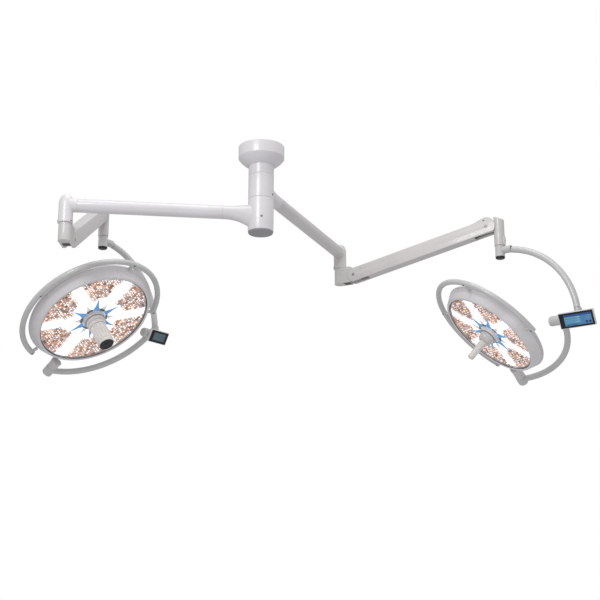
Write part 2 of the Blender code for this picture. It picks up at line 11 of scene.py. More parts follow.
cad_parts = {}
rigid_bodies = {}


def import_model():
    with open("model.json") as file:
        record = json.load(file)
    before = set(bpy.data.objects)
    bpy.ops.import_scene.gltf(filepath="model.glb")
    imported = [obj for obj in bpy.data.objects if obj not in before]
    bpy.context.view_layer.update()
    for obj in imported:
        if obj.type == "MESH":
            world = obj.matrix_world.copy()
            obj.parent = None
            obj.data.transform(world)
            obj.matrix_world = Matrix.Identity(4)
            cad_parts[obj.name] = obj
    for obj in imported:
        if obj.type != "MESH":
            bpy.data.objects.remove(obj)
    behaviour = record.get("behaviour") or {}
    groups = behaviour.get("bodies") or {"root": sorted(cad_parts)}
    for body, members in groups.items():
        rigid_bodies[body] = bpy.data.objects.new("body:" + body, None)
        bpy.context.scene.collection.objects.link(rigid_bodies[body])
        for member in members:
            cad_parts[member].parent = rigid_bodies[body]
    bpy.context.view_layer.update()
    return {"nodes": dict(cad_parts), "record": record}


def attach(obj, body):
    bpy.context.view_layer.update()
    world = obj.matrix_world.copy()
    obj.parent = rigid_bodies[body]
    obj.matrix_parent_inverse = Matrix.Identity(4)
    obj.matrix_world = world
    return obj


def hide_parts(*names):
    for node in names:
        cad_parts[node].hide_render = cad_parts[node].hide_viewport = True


for old in list(bpy.data.objects):
    bpy.data.objects.remove(old, do_unlink=True)
frame_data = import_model()
NODE_BODY = {n: b for b, ns in frame_data["record"]["behaviour"]["bodies"].items() for n in ns}

COLUMN_R = 0.059            # column, hubs and collar, outside radius
COLUMN_BOTTOM = -0.424      # underside of the end cap
CANOPY_R = 0.1067
CANOPY_RIM = -0.060         # lower edge of the straight canopy wall
CANOPY_END = -0.0975        # where the canopy's cone reaches the column
HUB_SPLIT = COLUMN_BOTTOM + 0.164
COLLAR_END = COLUMN_BOTTOM + 0.2803
SPINDLE_R = 0.030
ARM_R = 0.0312              # extension arm tube
GAP = 0.0003                # air between neighbouring pieces

ELBOW_OFFSET = 0.090        # elbow swivel axis to spring arm pivot, level
ELBOW_DROP = 0.1345         # extension arm axis down to spring arm pivot
SPRING_LENGTH = 0.752       # pivot to pivot
KNUCKLE_OFFSET = 0.060      # front pivot to swivel axis, level
BOW_DROP = 0.131            # front pivot down to where the outer bow starts
TIE_OFFSET = 0.0215         # tie bar pivots below the spring arm pivots
BEAM_W = 0.058
BEAM_H = 0.070
CAVITY_W = 0.036
BOW_TUBE_R = 0.0160

SIDES = {
    # arm: height of the axis, azimuth, length.  spring: azimuth, tilt.
    # bow: azimuth of the joint axis, drop, joint radius.  head: pivot dip
    # angle, face angle, face offset, lens radius, rim radius, inner bow
    # radius, ring radius and so on.
    "left": dict(
        arm_z=COLUMN_BOTTOM + 0.0951, arm_az=3.2759, arm_len=0.8824,
        spring_az=1.5248, spring_tilt=math.radians(29.4),
        bow_az=0.890, bow_drop=0.419, joint_r=0.428, centre_back=0.037,
        dip=0.594, face=1.550, face_z=0.0136,
        lens_r=0.2815, rim_r=0.3200, inner_r=0.3900,
        ring_r=0.3580, ring_tube=0.0143, ring_z=-0.048,
        seam_r=0.368, barrel_end=0.420, cap_r=0.338,
        screen=(0.125, 0.068), screen_shift=-0.008, hub_r=0.052,
    ),
    "right": dict(
        arm_z=COLUMN_BOTTOM + 0.2129, arm_az=1.1801, arm_len=1.0124,
        spring_az=-0.4803, spring_tilt=math.radians(11.15),
        bow_az=-0.593, bow_drop=0.404, joint_r=0.448, centre_back=0.059,
        dip=0.521, face=2.054, face_z=0.0300,
        lens_r=0.2410, rim_r=0.2760, inner_r=0.3660,
        ring_r=0.3330, ring_tube=0.0135, ring_z=-0.036,
        seam_r=0.346, barrel_end=0.396, cap_r=0.302,
        screen=(0.176, 0.078), screen_shift=0.006, hub_r=0.046,
    ),
}


PARTS = bpy.data.collections.new("surgical_light")
CUTTERS = bpy.data.collections.new("cutters")
bpy.context.scene.collection.children.link(PARTS)
bpy.context.scene.collection.children.link(CUTTERS)
EXTRA_BODY = {}        # new pieces that stand for no node: name to body
DATUM = {}


# ----------------------------------------------------------------- materials
def nodes_of(name):
    m = bpy.data.materials.new(name)
    m.use_nodes = True
    nt = m.node_tree
    return m, nt, nt.nodes["Principled BSDF"]


def noise(nt, scale, detail=3.0, rough=0.55, coord=None):
    if coord is None:
        coord = nt.nodes.new("ShaderNodeTexCoord").outputs["Object"]
    n = nt.nodes.new("ShaderNodeTexNoise")
    n.inputs["Scale"].default_value = scale
    n.inputs["Detail"].default_value = detail
    n.inputs["Roughness"].default_value = rough
    nt.links.new(coord, n.inputs["Vector"])
    return n.outputs["Fac"]


def remap(nt, value, lo, hi, low=0.3, high=0.7):
    r = nt.nodes.new("ShaderNodeMapRange")
    r.inputs["From Min"].default_value = low
    r.inputs["From Max"].default_value = high
    r.inputs["To Min"].default_value = lo
    r.inputs["To Max"].default_value = hi
    nt.links.new(value, r.inputs["Value"])
    return r.outputs["Result"]


def mixed(nt, fac, a, b):
    x = nt.nodes.new("ShaderNodeMix")
    x.data_type = "RGBA"
    x.inputs["A"].default_value = (*a, 1)
    x.inputs["B"].default_value = (*b, 1)
    nt.links.new(fac, x.inputs["Factor"])
    return x.outputs["Result"]


def bump(nt, b, height, strength, distance):
    n = nt.nodes.new("ShaderNodeBump")
    n.inputs["Strength"].default_value = strength
    n.inputs["Distance"].default_value = distance
    nt.links.new(height, n.inputs["Height"])
    nt.links.new(n.outputs["Normal"], b.inputs["Normal"])


def enamel(name, colour, rough=0.34, coat=0.25, grime=0.93):
    """Powder-coated metal: faint tone drift, orange peel, uneven gloss."""
    m, nt, b = nodes_of(name)
    c = nt.nodes.new("ShaderNodeTexCoord").outputs["Object"]
    dull = tuple(v * grime for v in colour)
    tone = remap(nt, noise(nt, 4.0, 4.0, 0.6, c), 0.0, 1.0, 0.35, 0.70)
    nt.links.new(mixed(nt, tone, colour, dull), b.inputs["Base Color"])
    nt.links.new(remap(nt, noise(nt, 30.0, 4.0, 0.6, c), rough - 0.04, rough + 0.07), b.inputs["Roughness"])
    bump(nt, b, noise(nt, 420.0, 2.0, 0.5, c), 0.03, 0.00008)
    b.inputs["Coat Weight"].default_value = coat
    b.inputs["Coat Roughness"].default_value = 0.12
    return m


def brushed(name, colour, rough=0.28, stretch=(1.0, 1.0, 14.0)):
    m, nt, b = nodes_of(name)
    c = nt.nodes.new("ShaderNodeTexCoord").outputs["Object"]
    mp = nt.nodes.new("ShaderNodeMapping")
    mp.inputs["Scale"].default_value = stretch
    nt.links.new(c, mp.inputs["Vector"])
    n = noise(nt, 160.0, 3.0, 0.6, mp.outputs["Vector"])
    nt.links.new(mixed(nt, n, colour, tuple(v * 0.86 for v in colour)), b.inputs["Base Color"])
    nt.links.new(remap(nt, n, rough - 0.05, rough + 0.10), b.inputs["Roughness"])
    b.inputs["Metallic"].default_value = 1.0
    bump(nt, b, n, 0.08, 0.0002)
    return m


def moulded(name, colour, rough=0.42, grain=900.0, depth=0.12):
    m, nt, b = nodes_of(name)
    c = nt.nodes.new("ShaderNodeTexCoord").outputs["Object"]
    nt.links.new(mixed(nt, remap(nt, noise(nt, 9.0, 4.0, 0.6, c), 0, 1), colour, tuple(v * 0.92 for v in colour)), b.inputs["Base Color"])
    nt.links.new(remap(nt, noise(nt, 45.0, 3.0, 0.6, c), rough - 0.05, rough + 0.08), b.inputs["Roughness"])
    bump(nt, b, noise(nt, grain, 2.0, 0.5, c), depth, 0.0003)
    return m


def glowing(name, colour, strength, rough=0.35, dark=0.85, scale=220.0):
    """Its own colour, given again as emission: a painted glow on the optics and star petals, the screen's own light on
    the display.
    """
    m, nt, b = nodes_of(name)
    c = nt.nodes.new("ShaderNodeTexCoord").outputs["Object"]
    tone = remap(nt, noise(nt, scale, 3.0, 0.6, c), 0, 1)
    col = mixed(nt, tone, colour, tuple(v * dark for v in colour))
    nt.links.new(col, b.inputs["Base Color"])
    nt.links.new(col, b.inputs["Emission Color"])
    b.inputs["Emission Strength"].default_value = strength
    b.inputs["Roughness"].default_value = rough
    return m


WHITE = enamel("white_enamel", (0.78, 0.755, 0.79), 0.30)
GREY = enamel("pale_grey_enamel", (0.665, 0.640, 0.640), 0.32)
SKIRT = enamel("lilac_grey_enamel", (0.77, 0.75, 0.775), 0.26, 0.4)
BOWGREY = enamel("bow_enamel", (0.60, 0.598, 0.60), 0.26, 0.5)
STEEL = brushed("bright_steel", (0.62, 0.62, 0.63))
ALU = brushed("board_aluminium", (0.70, 0.70, 0.71), 0.40)
BLACK = moulded("black_plastic", (0.012, 0.012, 0.014), 0.32)
GASKET = moulded("gasket_rubber", (0.03, 0.028, 0.035), 0.6)
PLASTIC = moulded("pale_plastic", (0.76, 0.745, 0.755), 0.36, 900.0, 0.05)
DARKGREY = moulded("end_face_plastic", (0.33, 0.325, 0.345), 0.50)
WARMWHITE = moulded("camera_white", (0.82, 0.785, 0.765), 0.28, 900.0, 0.03)
CAMBLACK = moulded("camera_black", (0.016, 0.016, 0.018), 0.14, 1500.0, 0.01)
PINSTEEL = brushed("pin_steel", (0.42, 0.41, 0.42), 0.50)

GLASS, _nt, _b = nodes_of("lens_glass")
_b.inputs["Base Color"].default_value = (0.97, 0.97, 1.0, 1)
_b.inputs["Alpha"].default_value = 0.10
_b.inputs["Coat Weight"].default_value = 0.6
_b.inputs["Coat Roughness"].default_value = 0.04
_nt.links.new(remap(_nt, noise(_nt, 14.0), 0.04, 0.10), _b.inputs["Roughness"])
SCREEN = moulded("screen_black_glass", (0.006, 0.006, 0.008), 0.10, 1500.0, 0.01)
# LED optics: the emission on these materials is a painted glow, and their colours mix the reflector tint with painted
# reflections and highlights
REFLECTION_WHITE = glowing("led_white", (1.0, 1.0, 1.0), 0.85, 0.35, 0.97)
CUP_WHITE = glowing("reflector_white", (0.94, 0.94, 0.95), 0.30, 0.25, 0.94)
PAINTED_GLOW_PLATE = glowing("reflector_warm", (0.80, 0.69, 0.68), 0.28, 0.30, 0.80, 160.0)
COPPER = glowing("reflector_copper", (0.66, 0.29, 0.13), 0.30, 0.25, 0.55, 300.0)
BROWN = glowing("reflector_brown", (0.24, 0.105, 0.065), 0.10, 0.25, 0.6, 300.0)
PEACH = glowing("reflector_peach", (0.92, 0.60, 0.42), 0.38, 0.3, 0.8, 300.0)
LILAC = glowing("reflector_lilac", (0.52, 0.45, 0.50), 0.15, 0.3, 0.8, 300.0)
# star petals: their emission is a painted glow that lightens the petals, the shaded sides of the frost petals most of
# all
BLUE = glowing("star_blue", (0.045, 0.34, 0.76), 0.34, 0.18, 0.74, 60.0)
FROST = glowing("star_frost", (0.70, 0.71, 0.69), 0.34, 0.30, 0.88, 60.0)
UI_GREY = glowing("display_grey_blue", (0.055, 0.090, 0.110), 0.45, 0.15, 0.85, 30.0)
UI_LINE = glowing("display_line", (0.12, 0.17, 0.20), 0.45, 0.15)
UI_BLUE = glowing("display_blue", (0.060, 0.185, 0.34), 0.45, 0.15, 0.85, 30.0)
UI_DARK = glowing("display_dark_blue", (0.02, 0.06, 0.22), 0.5, 0.15)
UI_LIGHT = glowing("display_light_blue", (0.16, 0.36, 0.48), 0.5, 0.15)
UI_NAVY = glowing("display_navy", (0.01, 0.03, 0.10), 0.6, 0.15)


def rounded(profile, closed, r=0.0013):
    """The same profile with small rounded corners where it turns sharply."""
    pts = [Vector((a, b)) for a, b in profile]
    n = len(pts)
    out = []
    for i, p in enumerate(pts):
        if not closed and i in (0, n - 1):
            out.append(tuple(p))
            continue
        u, v = pts[i - 1] - p, pts[(i + 1) % n] - p
        if u.length < 1e-7 or v.length < 1e-7:
            out.append(tuple(p))
            continue
        turn = math.pi - u.angle(v)
        if turn < math.radians(24) or p.x < 0.001:
            out.append(tuple(p))
            continue
        t = min(r, 0.34 * u.length, 0.34 * v.length)
        a, c = p + u.normalized() * t, p + v.normalized() * t
        for k in range(5):
            w = k / 4
            q = a * (1 - w) ** 2 + p * 2 * w * (1 - w) + c * w * w
            out.append((q.x, q.y))
    return out



def frame(origin, x, z):
    """A right-handed matrix from an origin and the directions of x and z."""
    x, z = Vector(x).normalized(), Vector(z).normalized()
    y = z.cross(x)
    m = Matrix((x, y, z)).transposed().to_4x4()
    m.translation = Vector(origin)
    return m


def place(obj, m, mat=None, coll=PARTS):
    coll.objects.link(obj)
    obj.matrix_world = m
    if mat:
        obj.data.materials.append(mat)
    if coll is CUTTERS:
        obj.hide_render = True
        obj.display_type = "WIRE"
    return obj


def smooth(obj, angle=40):
    obj.data.shade_smooth()
    obj.data.set_sharp_from_angle(angle=math.radians(angle))
    return obj


def turned(name, profile, m, mat=None, steps=32, closed=False, coll=PARTS):
    """A profile of (radius, z) from top to bottom, turned about z.

    An open profile starts and ends on the axis; a closed one is a ring.
    """
    mesh = bpy.data.meshes.new(name)
    bm = bmesh.new()
    if coll is PARTS:
        profile = rounded(profile, closed)
        steps = max(steps * 3, 60)
    elif steps > 12:
        steps = steps * 3
    verts = [bm.verts.new((r, 0.0, z)) for r, z in profile]
    for a, b in zip(verts, verts[1:]):
        bm.edges.new((a, b))
    if closed:
        bm.edges.new((verts[-1], verts[0]))
    bm.to_mesh(mesh)
    bm.free()
    obj = place(bpy.data.objects.new(name, mesh), m, mat, coll)
    s = obj.modifiers.new("turn", "SCREW")
    s.axis = "Z"
    s.steps = s.render_steps = steps
    s.use_merge_vertices = True
    s.merge_threshold = 0.00001
    s.use_smooth_shade = True
    return obj


def cylinder(name, r, z0, z1, m, mat=None, steps=24, coll=PARTS, r1=None):
    r1 = r if r1 is None else r1
    return turned(name, [(0, z1), (r1, z1), (r, z0), (0, z0)], m, mat, steps, coll=coll)


def drill(name, r, z0, z1, m, mat=None, steps=24, coll=CUTTERS):
    """A cutter whose flats, not its corners, lie at radius r."""
    return cylinder(name, r / math.cos(math.pi / (steps * 3)), z0, z1, m, mat, steps, coll)


def ring(name, r0, r1, z0, z1, m, mat=None, steps=32, coll=PARTS):
    return turned(name, [(r0, z1), (r1, z1), (r1, z0), (r0, z0)], m, mat, steps, True, coll)


def box(name, low, high, m, mat=None, coll=PARTS, bevel=0.0, segments=2):
    mesh = bpy.data.meshes.new(name)
    bm = bmesh.new()
    bmesh.ops.create_cube(bm, size=1.0)
    low, high = Vector(low), Vector(high)
    for v in bm.verts:
        v.co = Vector([(low[i] + high[i]) / 2 + v.co[i] * (high[i] - low[i]) for i in range(3)])
    bm.to_mesh(mesh)
    bm.free()
    obj = place(bpy.data.objects.new(name, mesh), m, mat, coll)
    if bevel:
        b = obj.modifiers.new("round", "BEVEL")
        b.width = bevel
        b.segments = segments
        b.limit_method = "ANGLE"
        b.angle_limit = math.radians(50)
    return obj


def to_mesh(curve_obj, name, m, mat, coll):
    """Turn an evaluated curve into a welded mesh object."""
    deps = bpy.context.evaluated_depsgraph_get()
    deps.update()
    mesh = bpy.data.meshes.new_from_object(curve_obj.evaluated_get(deps))
    bm = bmesh.new()
    bm.from_mesh(mesh)
    bmesh.ops.remove_doubles(bm, verts=bm.verts, dist=0.00001)
    bmesh.ops.recalc_face_normals(bm, faces=bm.faces)
    bm.to_mesh(mesh)
    bm.free()
    mesh.materials.clear()
    bpy.data.objects.remove(curve_obj, do_unlink=True)
    mesh.name = name
    return place(bpy.data.objects.new(name, mesh), m, mat, coll)


def plate(name, outline, half, m, mat=None, coll=PARTS):
    """A flat outline in x, y, extruded by half its thickness along +-z."""
    cu = bpy.data.curves.new(name + "_outline", "CURVE")
    cu.dimensions = "2D"
    cu.fill_mode = "BOTH"
    cu.extrude = half
    sp = cu.splines.new("POLY")
    sp.points.add(len(outline) - 1)
    for p, (x, y) in zip(sp.points, outline):
        p.co = (x, y, 0, 1)
    sp.use_cyclic_u = True
    ob = bpy.data.objects.new(name + "_outline", cu)
    CUTTERS.objects.link(ob)
    return to_mesh(ob, name, m, mat, coll)


def tube(name, points, r, m, mat=None, coll=PARTS, mesh=False, res=8):
    cu = bpy.data.curves.new(name + ("_path" if mesh else ""), "CURVE")
    cu.dimensions = "3D"
    cu.bevel_depth = r
    cu.bevel_resolution = res
    cu.resolution_u = 1
    cu.render_resolution_u = 0
    cu.use_fill_caps = True
    sp = cu.splines.new("POLY")
    sp.points.add(len(points) - 1)
    for p, co in zip(sp.points, points):
        p.co = (*co, 1)
    ob = bpy.data.objects.new(name + ("_path" if mesh else ""), cu)
    if mesh:
        CUTTERS.objects.link(ob)
        return to_mesh(ob, name, m, mat, coll)
    return place(ob, m, mat, coll)


def combine(obj, other, op="DIFFERENCE"):
    b = obj.modifiers.new(op.lower(), "BOOLEAN")
    b.operation = op
    b.solver = "EXACT"
    b.object = other
    return obj


def arc(cx, cy, r, a0, a1, n):
    """n+1 points of an arc; the angles are in degrees."""
    return [
        (cx + r * math.cos(math.radians(a0 + (a1 - a0) * i / n)),
         cy + r * math.sin(math.radians(a0 + (a1 - a0) * i / n)))
        for i in range(n + 1)
    ]


Z = Vector((0, 0, 1))
WORLD = Matrix.Identity(4)
TURN_Y = Matrix.Rotation(math.radians(-90), 4, "X")   # local z becomes +y
TURN_X = Matrix.Rotation(math.radians(90), 4, "Y")    # local z becomes +x
# plates that stand in the x, z plane: local x stays x, local y becomes z
UPRIGHT = Matrix.Rotation(math.radians(90), 4, "X")


def extra(obj, body):
    EXTRA_BODY[obj.name] = body
    return obj


def solid(name, build, m, mats, body):
    """A mesh piece from a build(bm) function, with face material numbers."""
    mesh = bpy.data.meshes.new(name)
    bm = bmesh.new()
    build(bm)
    bm.to_mesh(mesh)
    bm.free()
    obj = place(bpy.data.objects.new(name, mesh), m)
    for mat in mats:
        mesh.materials.append(mat)
    return extra(obj, body)


def prism(bm, outline, z0, z1, index=0, peak=None):
    """A closed prism, or a pitched petal if peak gives its ridge point."""
    low = [bm.verts.new((x, y, z0)) for x, y in outline]
    faces = [bm.faces.new(list(reversed(low)))]
    if peak is None:
        high = [bm.verts.new((x, y, z1)) for x, y in outline]
        faces.append(bm.faces.new(high))
        for i in range(len(low)):
            j = (i + 1) % len(low)
            faces.append(bm.faces.new((low[i], low[j], high[j], high[i])))
    else:
        top = bm.verts.new(peak)
        for i in range(len(low)):
            faces.append(bm.faces.new((low[i], low[(i + 1) % len(low)], top)))
    for f in faces:
        f.material_index = index


def dome(bm, x, y, z, profile, steps, mats):
    """A small turned form at x, y: profile of (radius, height), last at the axis."""
    rings = []
    for r, h in profile[:-1]:
        rings.append([bm.verts.new((x + r * math.cos(2 * math.pi * i / steps), y + r * math.sin(2 * math.pi * i / steps), z + h)) for i in range(steps)])
    for k, (a, b) in enumerate(zip(rings, rings[1:])):
        for i in range(steps):
            f = bm.faces.new((a[i], a[(i + 1) % steps], b[(i + 1) % steps], b[i]))
            f.material_index = mats[k]
            f.smooth = True
    top = bm.verts.new((x, y, z + profile[-1][1]))
    for i in range(steps):
        f = bm.faces.new((rings[-1][i], rings[-1][(i + 1) % steps], top))
        f.material_index = mats[-1]
        f.smooth = True
    f = bm.faces.new(list(reversed(rings[0])))
    f.material_index = mats[0]


PATTERN = {"left": (-3.0, 0.146), "right": (7.0, 0.148)}


def head_details(side, p, H):
    s = "_" + side
    zf, Rr, Rl, hub_r = p["face_z"], p["rim_r"], p["lens_r"], p["hub_r"]
    # a sloping skirt from the lens back to the widest rim, then the domed back
    turned("head_shell" + s, [
        (Rr + 0.0010, zf - 0.0506), (Rr + 0.0030, zf - 0.0530), (Rr + 0.0030, zf - 0.0590),
        (Rr - 0.0015, zf - 0.0665), (Rr - 0.0120, zf - 0.0745), (Rr - 0.0320, zf - 0.0812),
        (Rr * 0.78, zf - 0.0885), (Rr * 0.60, zf - 0.0945), (Rr * 0.30, zf - 0.1000), (0, zf - 0.1020),
        (0, zf - 0.0980), (Rr * 0.60, zf - 0.0900), (Rr * 0.78, zf - 0.0840), (Rr - 0.0170, zf - 0.0715),
        (Rr - 0.0040, zf - 0.0585), (Rr - 0.0030, zf - 0.0506), (Rr + 0.0010, zf - 0.0506),
    ], H, GREY, 48)
    turned("head_bezel" + s, [
        (Rl + 0.0017, zf - 0.0012), (Rl + 0.0034, zf), (Rl + 0.0105, zf), (Rl + 0.0140, zf - 0.0016),
        (Rl + 0.0165, zf - 0.0055), (Rr - 0.0034, zf - 0.0400), (Rr + 0.0008, zf - 0.0478),
        (Rr + 0.0008, zf - 0.0498), (Rr - 0.0040, zf - 0.0498), (Rl + 0.0140, zf - 0.0130), (Rl + 0.0017, zf - 0.0130),
    ], H, SKIRT, 48, closed=True)
    extra(turned("lens_gasket" + s, [
        (Rl - 0.0016, zf - 0.0032), (Rl + 0.0010, zf - 0.0022), (Rl + 0.0014, zf - 0.0056), (Rl - 0.0016, zf - 0.0056),
    ], H, GASKET, 48, closed=True), "head" + s)
    ring("head_lens" + s, hub_r + 0.0062, Rl - 0.0018, zf - 0.0052, zf - 0.0038, H, GLASS, 48)
    ring("led_board" + s, 0.0330, Rl + 0.004, zf - 0.0480, zf - 0.0450, H, ALU, 32)
    # white ring round the middle, with its turned groove
    turned("head_hub" + s, [
        (0.0200, zf + 0.0060), (hub_r - 0.0022, zf + 0.0060), (hub_r - 0.0015, zf + 0.0048), (hub_r - 0.0006, zf + 0.0074),
        (hub_r + 0.0006, zf + 0.0080), (hub_r + 0.0030, zf + 0.0048), (hub_r + 0.0055, zf - 0.0010), (hub_r + 0.0055, zf - 0.0100),
        (0.0325, zf - 0.0260), (0.0325, zf - 0.0700), (0.0200, zf - 0.0700),
    ], H, PLASTIC, 40, closed=True)
    extra(ring("hub_groove" + s, hub_r - 0.0042, hub_r - 0.0026, zf + 0.0056, zf + 0.0064, H, BLACK, 32), "head" + s)
    phase, tip = PATTERN[side]
    rnd = random.Random(41 if side == "left" else 77)

    def bright(x, y):
        """How far inside a white sector of painted reflection a point lies; below 0 is copper."""
        r, a = math.hypot(x, y), math.degrees(math.atan2(y, x))
        d = (a - phase + 30) % 60 - 30
        k = int(((a - phase + 30) % 360) // 60)
        across = abs(r * math.sin(math.radians(d)))
        width = 0.138 * Rl * (1 + 0.12 * math.sin(2.1 * k + 1)) - 0.05 * max(0.0, r - 0.8 * Rl)
        core = Rl * (0.50 + 0.035 * math.sin(5 * math.radians(a) + k))
        return max(width - across, core - r)

    def optics(bm):
        # back plate under the cells
        steps, r0, r1 = 96, hub_r + 0.0062, Rl - 0.0019
        radii = [r0 + (r1 - r0) * i / 26 for i in range(27)]
        rows = [[bm.verts.new((r * math.cos(2 * math.pi * i / steps), r * math.sin(2 * math.pi * i / steps), zf - 0.0130)) for i in range(steps)] for r in radii]
        back = [[bm.verts.new((r * math.cos(2 * math.pi * i / steps), r * math.sin(2 * math.pi * i / steps), zf - 0.0145)) for i in range(steps)] for r in (r0, r1)]
        for a, b in zip(rows, rows[1:]):
            for i in range(steps):
                j = (i + 1) % steps
                f = bm.faces.new((a[i], b[i], b[j], a[j]))
                c = f.calc_center_median()
                f.material_index = 0 if bright(c.x, c.y) > 0.004 else 1
        for (a, b) in ((rows[0], back[0]), (back[0], back[1]), (back[1], rows[-1])):
            for i in range(steps):
                j = (i + 1) % steps
                f = bm.faces.new((a[i], a[j], b[j], b[i]))
                f.material_index = 1
        pitch = 0.0148
        rows_n = int(Rl / pitch) + 3
        for iy in range(-rows_n, rows_n + 1):
            for ix in range(-rows_n, rows_n + 1):
                x = (ix + 0.5 * (iy % 2)) * pitch
                y = iy * pitch * 0.866
                r = math.hypot(x, y)
                if r > Rl - 0.0095 or r < hub_r + 0.0310:
                    continue
                w = bright(x, y)
                x += rnd.uniform(-0.0006, 0.0006)
                y += rnd.uniform(-0.0006, 0.0006)
                # cell colours: white in the white sectors, random copper, brown, peach, lilac and white elsewhere;
                # painted reflections and highlights on the reflector tint
                if w > 0.0:
                    cup, mid = 6, 0
                    if w < 0.006 and rnd.random() < 0.35:
                        cup = rnd.choice((4, 5))
                else:
                    cup = rnd.choices((2, 3, 4, 5, 1), (27, 15, 27, 13, 18))[0]
                    mid = rnd.choices((0, 4, 2, 3), (58, 18, 11, 13))[0]
                R = 0.0070
                dome(bm, x, y, zf - 0.0129, [(R, 0.0), (R, 0.0034), (R * 0.86, 0.0040), (R * 0.62, 0.0016), (R * 0.56, 0.0018), (R * 0.42, 0.0036), (0, 0.0046)],
                     14, (cup, cup, cup, mid, mid, mid))
        bmesh.ops.recalc_face_normals(bm, faces=bm.faces)

    solid("led_optics" + s, optics, H, [REFLECTION_WHITE, PAINTED_GLOW_PLATE, COPPER, BROWN, PEACH, LILAC, CUP_WHITE], "head" + s)

    def star(bm):
        for k in range(12):
            blue = k % 2 == 1
            a = math.radians(phase + 30 * k)
            ca, sa = math.cos(a), math.sin(a)
            r0 = hub_r + 0.0075
            reach = tip if blue else tip * 0.82
            half = 0.0190 if blue else 0.0135
            if not blue:
                r0 = hub_r + 0.0225
            edge = [(0.0, 1.0), (0.12, 0.90), (0.27, 0.62), (0.45, 0.38), (0.70, 0.19), (0.90, 0.08)]
            low = [(r0 + (reach - r0) * t, -half * v) for t, v in edge]
            pts = low + [(reach, 0.0)] + [(x, -y) for x, y in reversed(low)]
            out = [(x * ca - y * sa, x * sa + y * ca) for x, y in pts]
            mid = r0 + (reach - r0) * 0.34
            prism(bm, out, zf - 0.0086, 0, 0 if blue else 1, (mid * ca, mid * sa, zf - 0.0056))
        bmesh.ops.recalc_face_normals(bm, faces=bm.faces)

    solid("centre_star" + s, star, H, [BLUE, FROST], "head" + s)

    # black inlays for the vent openings: painted shade standing in for their dark insides
    def slots(bm):
        for k in range(6):
            a0 = phase + 60 * k - 14.0
            a1 = a0 + 28.0
            inner = [(math.cos(math.radians(a0 + (a1 - a0) * i / 8)), math.sin(math.radians(a0 + (a1 - a0) * i / 8))) for i in range(9)]
            r0, r1 = hub_r + 0.0085, hub_r + 0.0215
            out = [(x * r1, y * r1) for x, y in inner] + [(x * r0, y * r0) for x, y in reversed(inner)]
            prism(bm, out, zf - 0.0100, zf - 0.0090)
        bmesh.ops.recalc_face_normals(bm, faces=bm.faces)

    solid("vent_slots" + s, slots, H, [BLACK], "head" + s)
    # radial joints between the lens segments
    def joints(bm):
        for k in range(6):
            a = math.radians(phase + 60 * k + 30)
            ca, sa = math.cos(a), math.sin(a)
            pts = [(Rl * 0.56, -0.0006), (Rl - 0.0020, -0.0008), (Rl - 0.0020, 0.0008), (Rl * 0.56, 0.0006)]
            prism(bm, [(x * ca - y * sa, x * sa + y * ca) for x, y in pts], zf - 0.0066, zf - 0.0054)
        bmesh.ops.recalc_face_normals(bm, faces=bm.faces)

    solid("segment_joints" + s, joints, H, [DARKGREY], "head" + s)
    # button cap and screws on the domed back, seen from above
    extra(turned("back_cap" + s, [(0, zf - 0.1075), (0.060, zf - 0.1062), (0.064, zf - 0.1035), (0.062, zf - 0.0985), (0, zf - 0.0995)], H, GREY, 32), "head" + s)
    for i in range(6):
        a = math.radians(phase + 60 * i + 30)
        T = H @ Matrix.Rotation(a, 4, "Z") @ Matrix.Translation((Rr * 0.74, 0, zf - 0.0894))
        extra(turned("back_screw_%d" % i + s, [(0, -0.0032), (0.0050, -0.0030), (0.0064, -0.0015), (0.0064, 0.0030), (0, 0.0030)], T, STEEL, 10), "head" + s)


def fluted(name, z0, z1, r, n, depth, m, mat, body):
    """A cylinder with shallow flutes along it."""
    def build(bm):
        steps = n * 10
        rows = []
        for z, k in ((z0, 0.93), (z0 + 0.0015, 1.0), (z1 - 0.0015, 1.0), (z1, 0.93)):
            loop = []
            for i in range(steps):
                t = 2 * math.pi * i / steps
                q = abs(math.cos(n * t / 2)) ** 0.6
                rr = (r - depth * (1 - q)) * k
                loop.append(bm.verts.new((rr * math.cos(t), rr * math.sin(t), z)))
            rows.append(loop)
        for a, b in zip(rows, rows[1:]):
            for i in range(steps):
                j = (i + 1) % steps
                bm.faces.new((a[i], a[j], b[j], b[i]))
        bm.faces.new(list(reversed(rows[0])))
        bm.faces.new(rows[-1])
    return solid(name, build, m, [mat], body)


